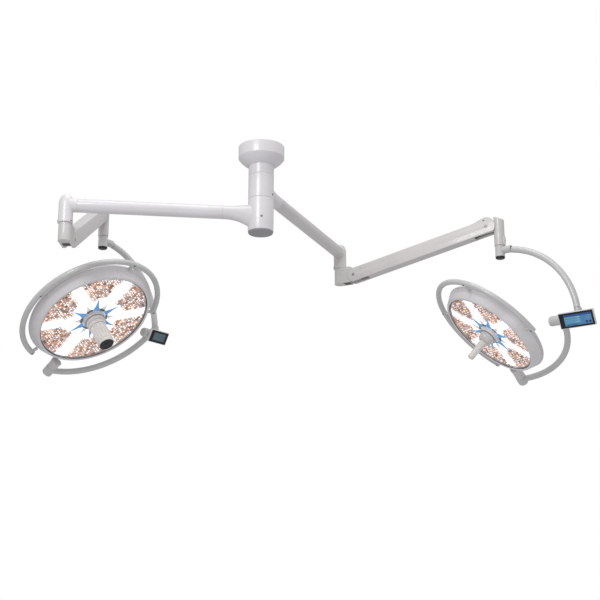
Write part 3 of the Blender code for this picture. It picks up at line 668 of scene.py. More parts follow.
def centre_details(side, p, H):
    s = "_" + side
    zf = p["face_z"]
    if side == "left":
        turned("camera_body" + s, [
            (0.0160, zf + 0.1675), (0.0372, zf + 0.1680), (0.0408, zf + 0.1635), (0.0418, zf + 0.1500), (0.0385, zf + 0.1485),
            (0.0370, zf + 0.1485), (0.0370, zf + 0.0490), (0.0435, zf + 0.0480), (0.0440, zf + 0.0460), (0.0440, zf + 0.0330),
            (0.0405, zf + 0.0315), (0.0400, zf + 0.0260), (0.0470, zf + 0.0245), (0.0480, zf + 0.0220), (0.0480, zf + 0.0083), (0.0190, zf + 0.0083),
            (0.0190, zf - 0.0500), (0.0160, zf - 0.0500),
        ], H, WARMWHITE, 32, closed=True)
        fluted("camera_grip" + s, zf + 0.0495, zf + 0.1480, 0.0412, 14, 0.0034, H, WARMWHITE, "grip" + s)
        extra(turned("camera_front" + s, [
            (0.0160, zf + 0.1682), (0.0180, zf + 0.1682), (0.0190, zf + 0.1697), (0.0225, zf + 0.1697), (0.0235, zf + 0.1684),
            (0.0265, zf + 0.1684), (0.0275, zf + 0.1699), (0.0325, zf + 0.1699), (0.0362, zf + 0.1690), (0.0370, zf + 0.1674), (0.0160, zf + 0.1674),
        ], H, CAMBLACK, 32, closed=True), "grip" + s)
        turned("camera_window" + s, [(0, zf + 0.1708), (0.0070, zf + 0.1702), (0.0130, zf + 0.1680), (0.0150, zf + 0.1686), (0.0157, zf + 0.1676), (0.0157, zf + 0.1490), (0, zf + 0.1490)], H, SCREEN, 30)
    else:
        turned("grip_base" + s, [
            (0, zf + 0.0480), (0.0200, zf + 0.0478), (0.0280, zf + 0.0440), (0.0335, zf + 0.0370), (0.0365, zf + 0.0270), (0.0375, zf + 0.0180),
            (0.0378, zf + 0.0083), (0.0190, zf + 0.0083), (0.0190, zf - 0.0500), (0, zf - 0.0500),
        ], H, GREY, 34)
        turned("sterile_handle" + s, [
            (0, zf + 0.1560), (0.0110, zf + 0.1553), (0.0150, zf + 0.1530), (0.0162, zf + 0.1480), (0.0164, zf + 0.1345),
            (0.0146, zf + 0.1325), (0.0146, zf + 0.1280), (0.0164, zf + 0.1260), (0.0160, zf + 0.1100), (0.0156, zf + 0.0900),
            (0.0164, zf + 0.0700), (0.0176, zf + 0.0560), (0.0188, zf + 0.0484), (0, zf + 0.0484),
        ], H, WARMWHITE, 30)


def screen_details(side, w, h, D):
    s = "_" + side
    box("screen_panel" + s, (-w / 2 + 0.0033, -h / 2 + 0.0033, 0.0113), (w / 2 - 0.0033, h / 2 - 0.0033, 0.0166), D, SCREEN, bevel=0.0012, segments=3)
    def rect(bm, x0, y0, x1, y1, z, index):
        prism(bm, [(x0, y0), (x1, y0), (x1, y1), (x0, y1)], z, z + 0.00012, index)
    def disc(bm, x, y, r, z, index):
        prism(bm, [(x + r * math.cos(math.pi * i / 12), y + r * math.sin(math.pi * i / 12)) for i in range(24)], z, z + 0.00012, index)
    z = 0.01662
    def left_ui(bm):
        x0, x1, y0, y1 = -w / 2 + 0.023, w / 2 - 0.020, -h / 2 + 0.0135, h / 2 - 0.0125
        rect(bm, x0, y0, x1, y1, z, 0)
        for k in range(4):
            y = y1 - 0.008 - 0.0088 * k
            rect(bm, x0 + 0.008, y, x1 - (0.022 if k % 2 else 0.012), y + 0.0022, z + 0.00014, 1)
        for k in range(3):
            disc(bm, x1 - 0.008, y1 - 0.009 - 0.0115 * k, 0.0028, z + 0.00014, 1)
    def right_ui(bm):
        x0, x1, y0, y1 = -w / 2 + 0.027, w / 2 - 0.013, -h / 2 + 0.0122, h / 2 - 0.0122
        rect(bm, x0, y0, x1, y1, z, 0)
        rect(bm, x0, y1 - 0.0095, x1, y1, z + 0.00014, 1)
        for k in range(3):
            y = y1 - 0.0180 - 0.0110 * k
            rect(bm, x0 + 0.010, y, x0 + 0.078, y + 0.0060, z + 0.00014, 2)
            rect(bm, x0 + 0.012, y + 0.0018, x0 + (0.058, 0.066, 0.050)[k], y + 0.0042, z + 0.00028, 0)
            disc(bm, x0 + 0.0052, y + 0.0030, 0.0026, z + 0.00014, 2)
        disc(bm, x1 - 0.0165, y1 - 0.0190, 0.0060, z + 0.00014, 2)
        disc(bm, x1 - 0.0165, y1 - 0.0190, 0.0038, z + 0.00028, 1)
        for k in range(2):
            disc(bm, x1 - 0.0275 + 0.0170 * k, y0 + 0.0100, 0.0062, z + 0.00014, 3)
        rect(bm, x0 + 0.010, y0 + 0.0035, x0 + 0.060, y0 + 0.0060, z + 0.00014, 3)
    solid("screen_display" + s, left_ui if side == "left" else right_ui, D, [UI_GREY, UI_LINE] if side == "left" else [UI_BLUE, UI_DARK, UI_LIGHT, UI_NAVY], "outer" + s)



# -------------------------------------------------------------------- column
cylinder("ceiling_plate", 0.100, -0.012, 0.0, WORLD, STEEL, 28)

turned("canopy_cover", [
    (0.1023, -0.0006), (CANOPY_R, -0.0006), (CANOPY_R, CANOPY_RIM + 0.003),
    (0.094, CANOPY_RIM - 0.0125), (0.078, CANOPY_RIM - 0.0260),
    (COLUMN_R + GAP, CANOPY_END), (COLUMN_R + GAP, CANOPY_END + 0.004),
    (0.077, CANOPY_RIM - 0.0215), (0.1023, CANOPY_RIM + 0.003),
], WORLD, WHITE, 28, closed=True)

# Drop tube: flange under the plate, a collar flush with the hubs, and the
# spindle that both hubs turn on.
turned("drop_tube", [
    (0.022, -0.0123), (0.080, -0.0123), (0.080, -0.0200), (COLUMN_R, -0.0200),
    (COLUMN_R, COLLAR_END), (SPINDLE_R, COLLAR_END),
    (SPINDLE_R, COLUMN_BOTTOM + 0.0073), (0.022, COLUMN_BOTTOM + 0.0073),
], WORLD, WHITE, 28, closed=True)

turned("end_cap", [
    (0, COLUMN_BOTTOM + 0.0070), (0.0570, COLUMN_BOTTOM + 0.0070),
    (0.0570, COLUMN_BOTTOM + 0.0020), (0.0548, COLUMN_BOTTOM),
    (0, COLUMN_BOTTOM),
], WORLD, DARKGREY, 28)



def flare(name, m, top, bottom):
    """The arm's root: rings that grow from the tube to the height of the hub."""
    n, rows = 48, 18
    bm = bmesh.new()
    loops = []
    for k in range(rows):
        t = k / (rows - 1)
        x = 0.176 + (0.030 - 0.176) * t
        grow = t ** 2.4
        up = ARM_R + (top - ARM_R) * grow
        down = ARM_R + (bottom - ARM_R) * grow
        wide = ARM_R + (0.042 - ARM_R) * grow
        loop = []
        for i in range(n):
            a = 2 * math.pi * i / n
            c, s = math.cos(a), math.sin(a)
            loop.append(bm.verts.new((x, wide * c, (up if s > 0 else down) * s)))
        loops.append(loop)
    for a, b in zip(loops, loops[1:]):
        for i in range(n):
            bm.faces.new((a[i], b[i], b[(i + 1) % n], a[(i + 1) % n]))
    bm.faces.new(loops[0])
    bm.faces.new(loops[-1])
    bmesh.ops.recalc_face_normals(bm, faces=bm.faces)
    mesh = bpy.data.meshes.new(name)
    bm.to_mesh(mesh)
    bm.free()
    return place(bpy.data.objects.new(name, mesh), m, coll=CUTTERS)


def suspension(side, p):
    s = "_" + side
    tint = WHITE if side == "left" else GREY
    # ------------------------------------------------------- extension arm
    ax = Vector((math.cos(p["arm_az"]), math.sin(p["arm_az"]), 0))
    A = frame((0, 0, p["arm_z"]), ax, Z)
    if side == "left":
        z0, z1, top, bottom = COLUMN_BOTTOM + 0.0073, HUB_SPLIT - GAP, 0.046, 0.084
    else:
        z0, z1, top, bottom = HUB_SPLIT + GAP, COLLAR_END - GAP, 0.050, 0.046
    bore = SPINDLE_R + GAP                       # running bore, relieved between its ends
    hub = turned("arm_hub" + s, [
        (bore, z1), (COLUMN_R, z1), (COLUMN_R, z0), (bore, z0), (bore, z0 + 0.014),
        (0.0500, z0 + 0.018), (0.0500, z1 - 0.018), (bore, z1 - 0.014),
    ], WORLD, WHITE, 28, closed=True)
    root = flare("root" + s, A, top, bottom)
    combine(root, drill("root_bore" + s, 0.0530, -0.5, 0.5, frame((0, 0, 0), ax, Z), steps=28, coll=CUTTERS))
    combine(root, drill("root_socket" + s, 0.0243, 0.085, 0.2, A @ TURN_X, steps=16, coll=CUTTERS))
    if side == "left":
        combine(root, box("root_floor" + s, (-0.3, -0.1, -0.2), (0.3, 0.1, z0 - p["arm_z"]), A, coll=CUTTERS))
        combine(root, box("root_roof" + s, (-0.3, -0.1, z1 - p["arm_z"]), (0.3, 0.1, 0.2), A, coll=CUTTERS))
    combine(hub, root, "UNION")

    L = p["arm_len"]
    turned("arm_tube" + s, [
        (0.0200, L - 0.036), (0.0240, L - 0.036), (0.0240, L - 0.0503),
        (ARM_R, L - 0.0503), (ARM_R, 0.1763), (0.0240, 0.1763),
        (0.0240, 0.100), (0.0200, 0.100),
    ], A @ TURN_X, tint, 20, closed=True)

    K = ax * L + Vector((0, 0, p["arm_z"]))
    KN = frame(K, ax, Z)
    knuckle = turned("arm_knuckle" + s, [
        (0, 0.0480), (0.0120, 0.0470), (0.0215, 0.0415), (0.0292, 0.0290),
        (0.0330, 0.0120), (0.0330, -0.0640), (0.0346, -0.0740),
        (0.0346, -0.0868), (0, -0.0868),
    ], KN, tint, 20)
    combine(knuckle, cylinder("knuckle_boss" + s, 0.0315, -0.0500, 0.0, KN @ TURN_X, steps=14, coll=CUTTERS), "UNION")
    combine(knuckle, drill("knuckle_socket" + s, 0.0243, -0.0600, -0.0355, KN @ TURN_X, steps=16, coll=CUTTERS))
    combine(knuckle, drill("knuckle_bore" + s, 0.0165, -0.1000, -0.0340, KN, steps=16, coll=CUTTERS))

    # --------------------------------------------------------------- elbow
    hx = Vector((math.cos(p["spring_az"]), math.sin(p["spring_az"]), 0))
    pivot_a = K + hx * ELBOW_OFFSET - Z * ELBOW_DROP
    E = frame(pivot_a, hx, Z)
    ek = -ELBOW_OFFSET
    zt, zb = ELBOW_DROP - 0.0874, -0.0375
    outline = arc(ek, 0, 0.0288, 90, 270, 28) + [(-0.0200, -0.0288), (-0.0200, 0.0288)]
    mid = Matrix.Translation((0, 0, (zt + zb) / 2))
    house = plate("elbow_housing" + s, outline, (zt - zb) / 2, E @ mid, GREY)
    b = house.modifiers.new("edge", "BEVEL")
    b.width, b.segments, b.limit_method, b.angle_limit = 0.0048, 3, "ANGLE", math.radians(60)
    combine(house, drill("house_hollow" + s, 0.0386, -0.05, 0.05, E @ TURN_Y, steps=28, coll=CUTTERS))
    tongue = plate("tongue" + s, [(-0.060, -0.020), (-0.060, 0.020)] + arc(0, 0, 0.0270, 75, -75, 24),
                   0.0088, E @ UPRIGHT, coll=CUTTERS)
    combine(house, tongue, "UNION")
    combine(house, cylinder("tie_peg" + s, 0.0034, 0.0, 0.0147, E @ Matrix.Translation((0, 0, -TIE_OFFSET)) @ TURN_Y, steps=8, coll=CUTTERS), "UNION")
    combine(house, drill("house_pin_hole" + s, 0.0083, -0.05, 0.05, E @ TURN_Y, steps=14, coll=CUTTERS))
    combine(house, drill("house_swivel_hole" + s, 0.0163, zt - 0.030, zt + 0.01, E @ Matrix.Translation((ek, 0, 0)), steps=24, coll=CUTTERS))
    cylinder("elbow_pin" + s, 0.0160, zt - 0.0295, zt + 0.0500, E @ Matrix.Translation((ek, 0, 0)), STEEL, 12)

    # ---------------------------------------------------------- spring arm
    g = p["spring_tilt"]
    bx = hx * math.cos(g) + Z * math.sin(g)
    bz = Z * math.cos(g) - hx * math.sin(g)
    B = frame(pivot_a, bx, bz)
    SL, hh = SPRING_LENGTH, BEAM_H / 2
    outline = (
        [(0.016, -hh)] + [(SL + 0.0313, -hh)] + arc(SL, 0, 0.0470, -42, 108, 36)
        + [(SL - 0.030, 0.0425), (SL - 0.045, 0.0385), (SL - 0.062, 0.0357), (SL - 0.080, hh)]
        + [(0.016, hh)] + arc(0, 0, 0.0380, 112, 248, 30)
    )
    beam = plate("spring_arm" + s, outline, BEAM_W / 2, B @ UPRIGHT, GREY)
    b = beam.modifiers.new("edge", "BEVEL")
    b.width, b.segments, b.limit_method, b.angle_limit = 0.0052, 3, "ANGLE", math.radians(60)
    combine(beam, box("beam_hollow" + s, (0.033, -CAVITY_W / 2, -0.08), (SL - 0.040, CAVITY_W / 2, 0.0300), B, coll=CUTTERS))
    combine(beam, box("beam_rear_slot" + s, (-0.08, -0.0152, -0.08), (0.034, 0.0152, 0.08), B, coll=CUTTERS))
    combine(beam, box("beam_front_slot" + s, (SL - 0.041, -0.0152, -0.08), (SL + 0.08, 0.0152, 0.0300), B, coll=CUTTERS))
    combine(beam, box("beam_nose_slot" + s, (SL - 0.0040, -0.0152, 0.0200), (SL + 0.08, 0.0152, 0.0800), B, coll=CUTTERS))
    combine(beam, drill("beam_rear_hole" + s, 0.0083, -0.05, 0.05, B @ TURN_Y, steps=14, coll=CUTTERS))
    front = B @ Matrix.Translation((SL, 0, 0))
    combine(beam, drill("beam_front_hole" + s, 0.0083, -0.05, 0.05, front @ TURN_Y, steps=14, coll=CUTTERS))
    cylinder("spring_pin_rear" + s, 0.0080, -0.0300, 0.0300, B @ TURN_Y, STEEL, 14)
    cylinder("spring_pin_front" + s, 0.0080, -0.0300, 0.0300, front @ TURN_Y, STEEL, 14)
    box("spring_arm_cover" + s, (0.075, -CAVITY_W / 2 + GAP, -hh), (SL - 0.075, CAVITY_W / 2 - GAP, -hh + 0.004), B, GREY)
    cylinder("spring_pack" + s, 0.0120, 0.110, 0.620, B @ Matrix.Translation((0, 0, 0.012)) @ TURN_X, STEEL, 12)

    # ------------------------------------------------------------- tie bar
    T = frame(pivot_a - Z * TIE_OFFSET, bx, bz)
    bar = plate("tie_bar" + s, arc(SL, 0, 0.0065, -90, 90, 6) + arc(0, 0, 0.0065, 90, 270, 6), 0.0022,
                T @ UPRIGHT @ Matrix.Translation((0, 0, -0.0118)), STEEL)
    for i, x in enumerate((0.0, SL)):
        combine(bar, drill("tie_hole_%d" % i + s, 0.0037, 0.0, 0.03, T @ Matrix.Translation((x, 0, 0)) @ TURN_Y, steps=8, coll=CUTTERS))

    # ------------------------------------------------------- front knuckle
    pivot_b = pivot_a + bx * SL
    F = frame(pivot_b, hx, Z)
    V = frame(pivot_b + hx * KNUCKLE_OFFSET, hx, Z)
    post = cylinder("front_knuckle" + s, 0.0262, -0.1062, 0.0500, V, GREY, 20)
    combine(post, box("post_slope" + s, (-0.08, -0.08, 0.0), (0.08, 0.08, 0.08),
                      V @ Matrix.Translation((-0.026, 0, 0.0480)) @ Matrix.Rotation(math.radians(22), 4, "Y"), coll=CUTTERS))
    combine(post, drill("post_hollow" + s, 0.0475, -0.06, 0.06, F @ TURN_Y, steps=28, coll=CUTTERS))
    lug = plate("lug" + s, [(0.060, -0.020), (0.060, 0.020)] + arc(0, 0, 0.0270, 105, 255, 24),
                0.0088, F @ UPRIGHT, coll=CUTTERS)
    combine(post, lug, "UNION")
    combine(post, cylinder("lug_peg" + s, 0.0034, 0.0, 0.0147, F @ Matrix.Translation((0, 0, -TIE_OFFSET)) @ TURN_Y, steps=8, coll=CUTTERS), "UNION")
    combine(post, drill("lug_hole" + s, 0.0083, -0.05, 0.05, F @ TURN_Y, steps=14, coll=CUTTERS))
    combine(post, box("brake_boss" + s, (0.015, -0.0100, -0.1062), (0.0300, 0.0100, -0.0560), V, coll=CUTTERS, bevel=0.004), "UNION")
    combine(post, drill("post_bore" + s, 0.0123, -0.12, -0.060, V, steps=14, coll=CUTTERS))

    # ------------------------------------------- swivel stub and outer bow
    swivel = pivot_b + hx * KNUCKLE_OFFSET - Z * BOW_DROP
    jx = Vector((math.cos(p["bow_az"]), math.sin(p["bow_az"]), 0))
    S = frame(swivel, jx, Z)
    stub = turned("swivel_stub" + s, [
        (0, 0.0600), (0.0120, 0.0600), (0.0120, 0.0240), (0.0238, 0.0240),
        (0.0238, -0.0260), (0.0246, -0.0290), (0.0246, -0.0330), (0, -0.0330),
    ], S, BOWGREY, 20)
    combine(stub, cylinder("stub_socket" + s, 0.0185, 0.0, 0.0620, S @ TURN_X, steps=16, coll=CUTTERS), "UNION")
    combine(stub, drill("stub_hole" + s, 0.0125, 0.0400, 0.0700, S @ TURN_X, steps=14, coll=CUTTERS))
    turned("stub_cap" + s, [(0, -0.0333), (0.0232, -0.0333), (0.0232, -0.0400), (0.0180, -0.0430), (0, -0.0440)], S, BLACK, 20)

    reach = p["joint_r"] - p["centre_back"]      # swivel axis to joint centre
    drop = p["bow_drop"]
    n = 60
    start = math.asin(0.0662 / reach)
    end = math.acos(0.0480 / drop)
    path = []
    for i in range(n + 1):
        t = start + (end - start) * i / n
        path.append((reach * math.sin(t), 0, drop * (math.cos(t) - 1)))
    tube("outer_bow" + s, path, BOW_TUBE_R, S, BOWGREY, mesh=True)
    J = frame(swivel + jx * reach - Z * drop, jx, Z)   # on the joint axis
    inward = min(0.0240, p["joint_r"] - p["inner_r"] - 0.0188)
    block = cylinder("joint_block" + s, 0.0250, -inward, 0.0300, J @ TURN_X, BOWGREY, 18)
    combine(block, cylinder("joint_sleeve" + s, 0.0190, 0.0, 0.0450, J, steps=14, coll=CUTTERS), "UNION")

    # Control screen in front of the joint, leaning back over the surgeon.
    hv = Z.cross(jx)
    lean = math.radians(27.5)
    normal = -hv * math.cos(lean) - Z * math.sin(lean)
    up = Z * math.cos(lean) - hv * math.sin(lean)
    w, h = p["screen"]
    centre = swivel + jx * (reach + p["screen_shift"]) - Z * drop + normal * 0.0270
    D = frame(centre, up.cross(normal), normal)
    case = box("screen_case" + s, (-w / 2, -h / 2, 0.0), (w / 2, h / 2, 0.0160), D, PLASTIC, bevel=0.003)
    combine(case, box("screen_recess" + s, (-w / 2 + 0.003, -h / 2 + 0.003, 0.0110), (w / 2 - 0.003, h / 2 - 0.003, 0.03), D, coll=CUTTERS))
    screen_details(side, w, h, D)

    # ---------------------------------------------------------- inner bow
    G = swivel + jx * (reach - p["joint_r"]) - Z * drop
    pd = hv * math.cos(p["dip"]) - Z * math.sin(p["dip"])
    I = frame(G, jx, jx.cross(pd))               # y runs along the head pivot
    n = 60
    R2 = p["inner_r"]
    path = [(R2 * math.cos(t), R2 * math.sin(t), 0) for t in
            [math.radians(1.0 + 88.0 * i / n) for i in range(n + 1)]]
    bow = tube("inner_bow" + s, path, 0.0155, I, BOWGREY, mesh=True)
    barrel = turned("joint_barrel" + s, [
        (0, p["joint_r"] - inward - 0.0004), (0.0240, p["joint_r"] - inward - 0.0004), (0.0240, p["cap_r"] + 0.010),
        (0.0215, p["cap_r"] + 0.003), (0.0150, p["cap_r"]), (0, p["cap_r"] - 0.0005),
    ], I @ TURN_X, steps=18, coll=CUTTERS)
    combine(bow, barrel, "UNION")
    cup = turned("pivot_cup" + s, [
        (0, p["barrel_end"]), (0.0170, p["barrel_end"] - 0.0010), (0.0240, p["barrel_end"] - 0.0050),
        (0.0262, p["barrel_end"] - 0.0120), (0.0262, p["seam_r"] + GAP), (0, p["seam_r"] + GAP),
    ], I @ TURN_Y, steps=18, coll=CUTTERS)
    combine(bow, cup, "UNION")
    combine(bow, drill("pivot_cup_bore" + s, 0.0103, p["seam_r"] - 0.02, p["barrel_end"] - 0.012, I @ TURN_Y, steps=14, coll=CUTTERS))

    # ------------------------------------------------------------ lamp head
    q = pd.cross(jx)
    nrm = jx * math.cos(p["face"]) + q * math.sin(p["face"])
    H = frame(G, pd, nrm)                        # x along the pivot, z out of the lens
    zf, Rr, Rl, hub_r = p["face_z"], p["rim_r"], p["lens_r"], p["hub_r"]
    head_details(side, p, H)
    # trunnion between the head's rim and the inner bow
    tr = turned("head_trunnion" + s, [
        (0, p["barrel_end"] - 0.0140), (0.0100, p["barrel_end"] - 0.0140), (0.0100, p["seam_r"] - GAP),
        (0.0255, p["seam_r"] - GAP), (0.0255, p["seam_r"] - 0.0300), (0.0275, Rr + 0.0120),
        (0.0275, Rr - 0.0200), (0, Rr - 0.0200),
    ], H @ TURN_X, GREY, 18)
    combine(tr, drill("trunnion_seat" + s, Rr + 0.0034, -0.1, 0.1, H, steps=56, coll=CUTTERS))
    # loop handle: an open ring with four welded struts
    rr, rz, rt = p["ring_r"], zf + p["ring_z"], p["ring_tube"]
    a0, a1, n = -23.0, -253.0, 110
    loop = tube("loop_handle" + s, [
        (rr * math.cos(math.radians(a0 + (a1 - a0) * i / n)), rr * math.sin(math.radians(a0 + (a1 - a0) * i / n)), rz)
        for i in range(n + 1)], rt, H, BOWGREY, mesh=True)
    for i, a in enumerate((-24.5, -95.0, -180.0, -251.5)):
        strut = cylinder("strut_%d" % i + s, 0.0085, Rr + 0.0045, rr, H @ Matrix.Rotation(math.radians(a), 4, "Z")
                         @ Matrix.Translation((0, 0, rz)) @ TURN_X, steps=8, coll=CUTTERS)
        combine(loop, strut, "UNION")

    centre_details(side, p, H)
    DATUM[side] = dict(H=H.copy(), B=B.copy(), E=E.copy(), KN=KN.copy(), V=V.copy(), D=D.copy(), J=J.copy(), A=A.copy(), S=S.copy(), I=I.copy())



for name, values in SIDES.items():
    suspension(name, values)

# ------------------------------------------------------------- small fittings
def socket_screw(name, m, r, body, mat=None):
    """A cap screw head with a hexagonal socket; local z points out of the surface."""
    def build(bm):
        n = 24
        def loop(k, z):
            return [bm.verts.new((k * math.cos(2 * math.pi * i / n), k * math.sin(2 * math.pi * i / n), z)) for i in range(n)]
        def hexa(k, z):
            out = []
            for i in range(n):
                t = (2 * math.pi * i / n) % (math.pi / 3) - math.pi / 6
                q = k * math.cos(math.pi / 6) / math.cos(t)
                out.append(bm.verts.new((q * math.cos(2 * math.pi * i / n), q * math.sin(2 * math.pi * i / n), z)))
            return out
        rows = [loop(r, -0.0010), loop(r, 0.0006), loop(r * 0.88, 0.0011), hexa(r * 0.58, 0.0011), hexa(r * 0.54, -0.0006)]
        bm.faces.new(list(reversed(rows[0])))
        for a, b in zip(rows, rows[1:]):
            for i in range(n):
                f = bm.faces.new((a[i], a[(i + 1) % n], b[(i + 1) % n], b[i]))
        bm.faces.new(rows[-1])
    return solid(name, build, m, [mat or BLACK], body)


def facing(point, normal):
    normal = Vector(normal).normalized()
    side = Z if abs(normal.z) < 0.9 else Vector((1, 0, 0))
    return frame(point, side.cross(normal), normal)


def dark_slot(name, m, lx, ly, body, deep=0.0008):
    """A rounded black inlay and its raised lip: painted shade standing in for a dark recess."""
    def build(bm):
        r = min(lx, ly) / 2
        pts = []
        for cx, cy, a0 in ((lx / 2 - r, ly / 2 - r, 0), (-lx / 2 + r, ly / 2 - r, 90), (-lx / 2 + r, -ly / 2 + r, 180), (lx / 2 - r, -ly / 2 + r, 270)):
            pts += [(cx + r * math.cos(math.radians(a0 + 15 * i)), cy + r * math.sin(math.radians(a0 + 15 * i))) for i in range(7)]
        seen = []
        for q in pts:
            if not seen or (abs(q[0] - seen[-1][0]) + abs(q[1] - seen[-1][1])) > 1e-6:
                seen.append(q)
        if abs(seen[0][0] - seen[-1][0]) + abs(seen[0][1] - seen[-1][1]) < 1e-6:
            seen.pop()
        prism(bm, seen, -deep, 0.00025)
    return solid(name, build, m, [BLACK], body)


socket_screw("column_screw_front", facing((0.00622, -0.05908, -0.3583), (0.0062, -0.0587, 0)), 0.0048, "arm_left")
socket_screw("column_screw_side", facing((0.05427, -0.02313, -0.2418), (0.05427, -0.02313, 0)), 0.0048, "arm_right")
for side, p in SIDES.items():
    s = "_" + side
    KN, B, H, V = (DATUM[side][k] for k in ("KN", "B", "H", "V"))
    for n, (a, z) in enumerate(((-100, -0.0805), (20, -0.0805), (140, -0.0805))):
        q = KN @ Vector((0.0347 * math.cos(math.radians(a)), 0.0347 * math.sin(math.radians(a)), z))
        socket_screw("knuckle_screw_%d" % n + s, facing(q, q - KN @ Vector((0, 0, z))), 0.0034, "arm" + s)
    for n, y in enumerate((-1, 1)):
        for k, (x, z, r) in enumerate(((SPRING_LENGTH - 0.004, 0.0330, 0.0040), (0.046, 0.022, 0.0034), (0.046, -0.022, 0.0034))):
            q = B @ Vector((x, y * BEAM_W / 2, z))
            socket_screw("beam_screw_%d%d" % (n, k) + s, facing(q, q - B @ Vector((x, 0, z))), r, "lift" + s, BLACK if k == 0 else STEEL)
    for n, x in enumerate((0.095, 0.376, SPRING_LENGTH - 0.095)):
        q = B @ Vector((x, 0, -BEAM_H / 2))
        socket_screw("cover_screw_%d" % n + s, facing(q, q - B @ Vector((x, 0, 0))), 0.0032, "lift" + s, STEEL)
    rz = p["face_z"] + p["ring_z"] + p["ring_tube"]
    for n, a in enumerate((-24.5, -95.0, -180.0, -251.5)):
        c, d = math.cos(math.radians(a)), math.sin(math.radians(a))
        q = H @ Vector((p["ring_r"] * c, p["ring_r"] * d, rz - 0.0003))
        socket_screw("handle_screw_%d" % n + s, facing(q, H.to_3x3() @ Vector((0, 0, 1))), 0.0048, "head" + s)
    E = DATUM[side]["E"]
    under = frame(E @ Vector((-0.0440, 0, -0.0375)), E.to_3x3() @ Vector((1, 0, 0)), (0, 0, -1))
    def recess(bm):
        # black inlay in the flat underside of the elbow housing: painted shade standing in for a dark opening
        a, b, c = 0.0200, 0.0185, 0.0025
        prism(bm, [(a - c, -b), (a, -b + c), (a, b - c), (a - c, b), (-a + c, b), (-a, b - c), (-a, -b + c), (-a + c, -b)], -0.0008, 0.00025)
    solid("elbow_recess" + s, recess, under, [BLACK], "elbow" + s)
    q = V @ Vector((0.0303, 0, -0.0810))
    socket_screw("brake_screw" + s, facing(q, V.to_3x3() @ Vector((1, 0, 0))), 0.0036, "knuckle" + s)


# -------------------------------------------------- settle the meshes, riding
bpy.context.view_layer.update()
deps = bpy.context.evaluated_depsgraph_get()
final = {}
for ob in list(PARTS.objects):
    mesh = bpy.data.meshes.new_from_object(ob.evaluated_get(deps), preserve_all_data_layers=True, depsgraph=deps)
    final[ob.name.split(".")[0]] = (mesh, ob.matrix_world.copy(), [sl.material for sl in ob.material_slots])
names = list(final)
for ob in list(PARTS.objects) + list(CUTTERS.objects):
    bpy.data.objects.remove(ob, do_unlink=True)
for name in names:
    mesh, m, mats = final[name]
    mats = [x for x in mats if x] or [GREY]
    if name.startswith("spring_pin_"):
        mats = [PINSTEEL]
    index = [min(q.material_index, len(mats) - 1) for q in mesh.polygons]
    mesh.materials.clear()
    for x in mats:
        mesh.materials.append(x)
    mesh.polygons.foreach_set("material_index", index if len(mats) > 1 else [0] * len(index))
    bm = bmesh.new()
    bm.from_mesh(mesh)
    bmesh.ops.remove_doubles(bm, verts=bm.verts, dist=0.000002)
    bmesh.ops.dissolve_degenerate(bm, edges=bm.edges, dist=0.000001)
    if name.rsplit("_", 1)[0] not in ("led_optics",):
        bmesh.ops.recalc_face_normals(bm, faces=bm.faces)
    bm.to_mesh(mesh)
    bm.free()
    mesh.transform(m)
    if m.determinant() < 0:
        mesh.flip_normals()
    mesh.shade_smooth()
    mesh.set_sharp_from_angle(angle=math.radians(34))
    ob = bpy.data.objects.new("v_" + name, mesh)
    bpy.context.scene.collection.objects.link(ob)
    if name in NODE_BODY:
        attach(ob, NODE_BODY[name])
        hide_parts(name)
    else:
        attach(ob, EXTRA_BODY[name])

CARRIED = {"tie_bar": STEEL, "spring_pack": STEEL}
for name, ob in frame_data["nodes"].items():
    if not ob.hide_render:
        print("carried over:", name)
        ob.data.materials.clear()
        ob.data.materials.append(STEEL)

# ------------------------------------------------------------ light and camera
scene = bpy.context.scene
world = bpy.data.worlds.new("studio")
scene.world = world
world.use_nodes = True
wn = world.node_tree
bg = wn.nodes["Background"]
bg.inputs["Color"].default_value = (1.0, 1.0, 1.0, 1)
bg.inputs["Strength"].default_value = 0.50
white = wn.nodes.new("ShaderNodeBackground")
white.inputs["Color"].default_value = (1.0, 1.0, 1.0, 1)
white.inputs["Strength"].default_value = 1.0
path = wn.nodes.new("ShaderNodeLightPath")
mixer = wn.nodes.new("ShaderNodeMixShader")
wn.links.new(path.outputs["Is Camera Ray"], mixer.inputs["Fac"])
wn.links.new(bg.outputs["Background"], mixer.inputs[1])
wn.links.new(white.outputs["Background"], mixer.inputs[2])
wn.links.new(mixer.outputs["Shader"], wn.nodes["World Output"].inputs["Surface"])
scene.view_settings.view_transform = "Standard"
scene.view_settings.look = "None"

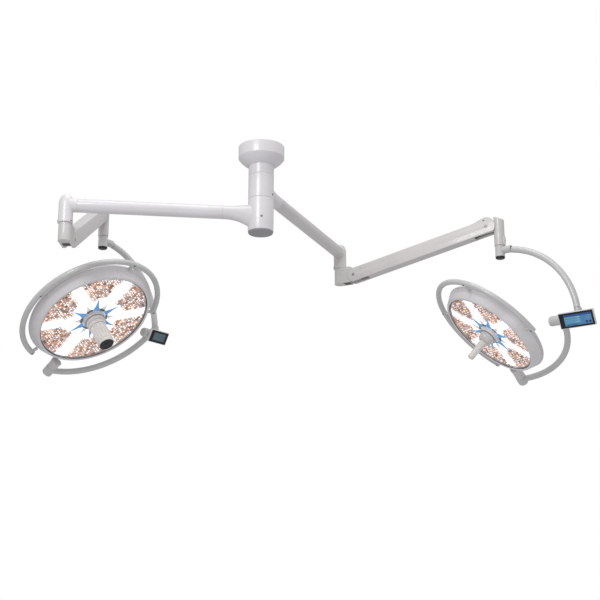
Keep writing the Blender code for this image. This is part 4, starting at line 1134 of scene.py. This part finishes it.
floor_mesh = bpy.data.meshes.new("floor")
floor_mesh.from_pydata([(-16, -16, -5.2), (16, -16, -5.2), (16, 16, -5.2), (-16, 16, -5.2)], [], [(0, 1, 2, 3)])
floor = bpy.data.objects.new("floor", floor_mesh)
scene.collection.objects.link(floor)
fm, fnt, fb = nodes_of("pale_floor")
fnt.links.new(mixed(fnt, remap(fnt, noise(fnt, 3.0), 0, 1), (0.90, 0.90, 0.91), (0.86, 0.86, 0.87)), fb.inputs["Base Color"])
fb.inputs["Roughness"].default_value = 0.7
floor_mesh.materials.append(fm)


def area(name, place_at, look_at, size, power, colour=(1, 1, 1)):
    li = bpy.data.lights.new(name, "AREA")
    li.shape = "RECTANGLE"
    li.size, li.size_y = size
    li.energy = power
    li.color = colour
    ob = bpy.data.objects.new(name, li)
    scene.collection.objects.link(ob)
    d = Vector(look_at) - Vector(place_at)
    ob.location = place_at
    ob.rotation_euler = d.to_track_quat("-Z", "Y").to_euler()


area("key", (-1.6, -3.6, 1.2), (0.1, 0.0, -0.5), (1.6, 1.2), 62)
area("top", (0.4, -0.6, 2.6), (0.1, 0.2, -0.5), (3.0, 2.0), 52, (1.0, 0.99, 0.98))
area("low", (0.6, -3.4, -2.9), (0.1, 0.0, -0.7), (2.6, 1.4), 17, (1.0, 0.985, 0.98))
area("rim", (3.2, 1.8, 0.5), (0.3, 0.1, -0.5), (3.0, 3.0), 9)

cam = bpy.data.cameras.new("camera")
cam.sensor_width = 36.0
cam.sensor_fit = "HORIZONTAL"
cam.lens = 77.134
cam.clip_end = 60
camera = bpy.data.objects.new("camera", cam)
scene.collection.objects.link(camera)
th, psi, roll = 0.2844, -0.0082, 0.0023
fwd = Vector((math.sin(psi) * math.cos(th), math.cos(psi) * math.cos(th), math.sin(th)))
rgt = Vector((math.cos(psi), -math.sin(psi), 0))
upv = rgt.cross(fwd)
r2 = math.cos(roll) * rgt + math.sin(roll) * upv
u2 = r2.cross(fwd)
M = Matrix((r2, u2, -fwd)).transposed().to_4x4()
M.translation = Vector((0.2268, -5.5601, -2.3659))
camera.matrix_world = M
scene.camera = camera
